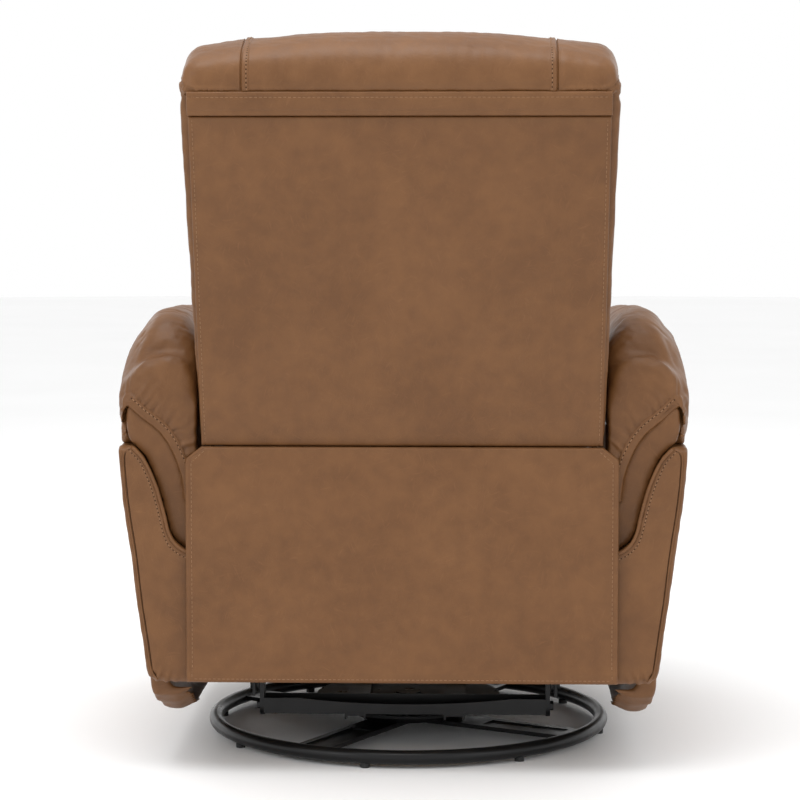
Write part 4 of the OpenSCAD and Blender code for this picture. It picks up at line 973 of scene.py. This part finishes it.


# Outer side panels: leather over thin foam and board, wrapped round to the rear of each arm.
# A welt with a topstitched line edges the wrap. A fine cord turns the outer corner, and a thin dark
# line beside it is painted shade for the seam's groove.
left_side = softened("left_side_panel", ["left_arm_side_panel"], 0.0046, 3, "chair_frame")
finer(left_side)
right_side = flipped(left_side, "right_side_panel", ["right_arm_side_panel"])
rear_y = 0.3185
side_z, side_height = 0.060, 0.387
welt = through([arm(*p, rear_y) for p in [
    (0.80, -0.006), (0.775, -0.022), (0.67, -0.09), (0.587, -0.19), (0.514, -0.299), (0.45, -0.43),
    (0.404, -0.55), (0.358, -0.654), (0.294, -0.724), (0.183, -0.775), (0.11, -0.79),
]], 8)
corner_in = 0.0065
outer = through([
    (arm_inner + arm_width * a - corner_in, rear_y, side_z + side_height * b) for a, b in [
        (0.57, 0.17), (0.645, 0.197), (0.692, 0.279), (0.733, 0.364), (0.778, 0.45),
        (0.81, 0.535), (0.845, 0.62), (0.89, 0.705), (0.935, 0.79), (0.97, 0.885),
        (0.985, 0.96), (0.96, 0.992), (0.86, 1.004),
    ]
], 8)
for piece, s, seed in [(left_side, 1, 61), (right_side, -1, 62)]:
    co, n = points_of(piece), normals_of(piece)
    q = co * [s, 1, 1]
    near = near_line(q * [1, 0, 1], outer * [1, 0, 1])[0]
    rear = step(co[:, 1], 0.300, 0.312)
    move = -0.0016 * rear * bell(near, 0.0034)
    near = near_line(q * [1, 0, 1], welt * [1, 0, 1])[0]
    move += 0.0018 * rear * bell(near, 0.007)
    tuck = rear * bell(co[:, 2] - 0.131, 0.011) * bell(q[:, 0] - 0.325, 0.018)
    move += 0.0022 * tuck * waves(q[:, 0], 0.0125, q[:, 2] * 180)
    move += 0.0007 * rolling(co, 0.11, seed) + 0.0002 * rolling(co, 0.02, seed + 2)
    co += n * move[:, None]
    move_to(piece, co)
    name = "left" if s > 0 else "right"
    tree = surface(piece)
    corded(name + "_welt", [welt * [s, 1, 1]], tree, "chair_frame", radius=0.0026, sink=0.0004)
    corded(name + "_corner_cord", [outer * [s, 1, 1]], tree, "chair_frame", radius=0.0012,
           sink=0.0006)
    stitched(name + "_welt_stitches", [beside(welt, -0.0066) * [s, 1, 1]], tree, "chair_frame",
             look=(0, -1, 0), pitch=0.0055)
    # A thin tube in the near black hole colour along the corner: painted shade for the seam's
    # groove.
    corded(name + "_corner_seam_shade", [beside(outer, -0.0019) * [s, 1, 1]], tree, "chair_frame",
           radius=0.0005, sink=0.0003, m=needle_hole_shade)


# Front panels: a flat padded facing closes the front of each arm, with a cord round its edge.
left_front = softened("left_front_panel", ["left_arm_front_panel"], 0.004, 2, "chair_frame")
finer(left_front)
right_front = flipped(left_front, "right_front_panel", ["right_arm_front_panel"])
facing = through([arm(*p, -0.3985) for p in [
    (0.04, -0.9), (0.04, -1.57), (0.2, -1.61), (0.49, -1.66), (0.64, -1.56), (0.69, -1.29),
    (0.74, -0.99), (0.8, -0.69), (0.87, -0.39), (0.92, -0.14), (0.94, 0.1), (0.9, 0.34),
    (0.785, 0.535), (0.59, 0.66), (0.4, 0.7), (0.21, 0.64), (0.08, 0.49), (0.04, 0.2),
    (0.04, -0.3), (0.04, -0.9),
]], 4)
for piece, s, seed in [(left_front, 1, 71), (right_front, -1, 72)]:
    co, n = points_of(piece), normals_of(piece)
    co += n * (0.0005 * rolling(co, 0.06, seed) + 0.0002 * rolling(co, 0.015, seed))[:, None]
    move_to(piece, co)
    name = "left" if s > 0 else "right"
    corded(name + "_front_cord", [facing * [s, 1, 1]], surface(piece), "chair_frame", radius=0.0022)


# Inner arm panels: leather over board, flat and plain, topstitched at both ends.
for side, s in [("left", 1), ("right", -1)]:
    name, node = side + "_inner_panel", side + "_arm_inner_panel"
    low, high = (np.array(v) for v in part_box(node))
    mid, half = (low[1] + high[1]) / 2, (high[1] - low[1]) / 2

    def inner_place(u, v, d):
        return (s * (arm_inner + d), mid - s * u, v)

    verts, faces = slab(lambda v: half, low[2], high[2] + 0.003, 0.0117, inner_place,
                        seams=[(True, 0.0005, 0.0016)], seed=75 + s)
    piece = put(name, verts, faces, leather, "chair_frame", [node])
    stitched(name + "_stitches", [
        [(s * arm_inner, y, z) for z in (low[2] + 0.004, high[2] - 0.004)]
        for y in (mid - (half - 0.007), mid + (half - 0.007))
    ], surface(piece), "chair_frame")


# Rear skirt: one flat panel of leather over board that hides the mechanism. Its upper corners are
# cut off at a slant, it is topstitched 7 to 8 mm inside sides and slants, and it has a sewn hem.
def skirt_half(v):
    return 0.291 - 0.021 * max(0.0, (v - 0.4305) / 0.0167)


skirt_y = 0.3315


def skirt_place(u, v, d):
    hem = 0.002 * (1 - step(v, 0.1448, 0.1462)) * step(v, 0.1275, 0.1305)
    return (u, skirt_y - d + hem, v)


verts, faces = slab(skirt_half, 0.127, 0.4472, 0.0095, skirt_place,
                    seams=[(True, 0.0006, 0.0016)], seed=81, ripple=0.0006)
skirt = put("rear_skirt", verts, faces, leather, "chair_frame", ["skirt_panel"])
stitched("skirt_stitches", [
    [(s * 0.283, skirt_y, 0.134), (s * 0.283, skirt_y, 0.4265), (s * 0.2645, skirt_y, 0.4425)]
    for s in (-1, 1)
] + [[(-0.281, skirt_y, 0.1325), (0.281, skirt_y, 0.1325)]], surface(skirt), "chair_frame")


# Footrest: a padded board in the same leather, with one sewn channel across it and a corded edge.
pad = softened("footrest_cushion", ["footrest_pad"], 0.006, 2, "footrest")
low, high = (np.array(v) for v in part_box("footrest_pad"))
mid_z = (low[2] + high[2]) / 2
p = points_of(pad)
rim = np.maximum(abs(p[:, 0]) / 0.258, abs(p[:, 2] - mid_z) / 0.143)
tight = np.maximum.reduce([
    (p[:, 1] > high[1] - 0.006) * 1.0, bell(p[:, 2] - mid_z, 0.006) * (p[:, 1] < -0.43),
    bell(p[:, 1] - high[1] + 0.012, 0.004) * (rim > 0.97),
])
filled(pad, tight, cap=0.016)
held(pad, ["footrest_pad"], 0.004, 0.004)
sliced(pad, (0, 0, mid_z), (0, 0, 1), [k / 1000 for k in (-8, -5, -3, -1.5, 0, 1.5, 3, 5, 8)])
finer(pad)
co, n = points_of(pad), normals_of(pad)
front = step(-co[:, 1], 0.425, 0.432)
gap = abs(co[:, 2] - mid_z)
move = -0.0036 * bell(gap, 0.0024) * front
move += (0.0012 * front * bell(gap, 0.014) * rolling(co, 0.018, 91, (0.7, 1, 2.2))
         + 0.0007 * rolling(co, 0.06, 92))
co += n * move[:, None]
move_to(pad, co)
pad_tree = surface(pad)
stitched("footrest_stitches", [
    [(-0.255, -0.45, mid_z + d), (0.255, -0.45, mid_z + d)] for d in (-0.005, 0.005)
], pad_tree, "footrest", look=(0, 1, 0))
us, vs = frame_line(0.2585, (high[2] - low[2]) / 2 - 0.0025)
corded("footrest_cord", [[(u, high[1] - 0.013, mid_z + v) for u, v in zip(us, vs)]], pad_tree,
       "footrest", radius=0.0022)
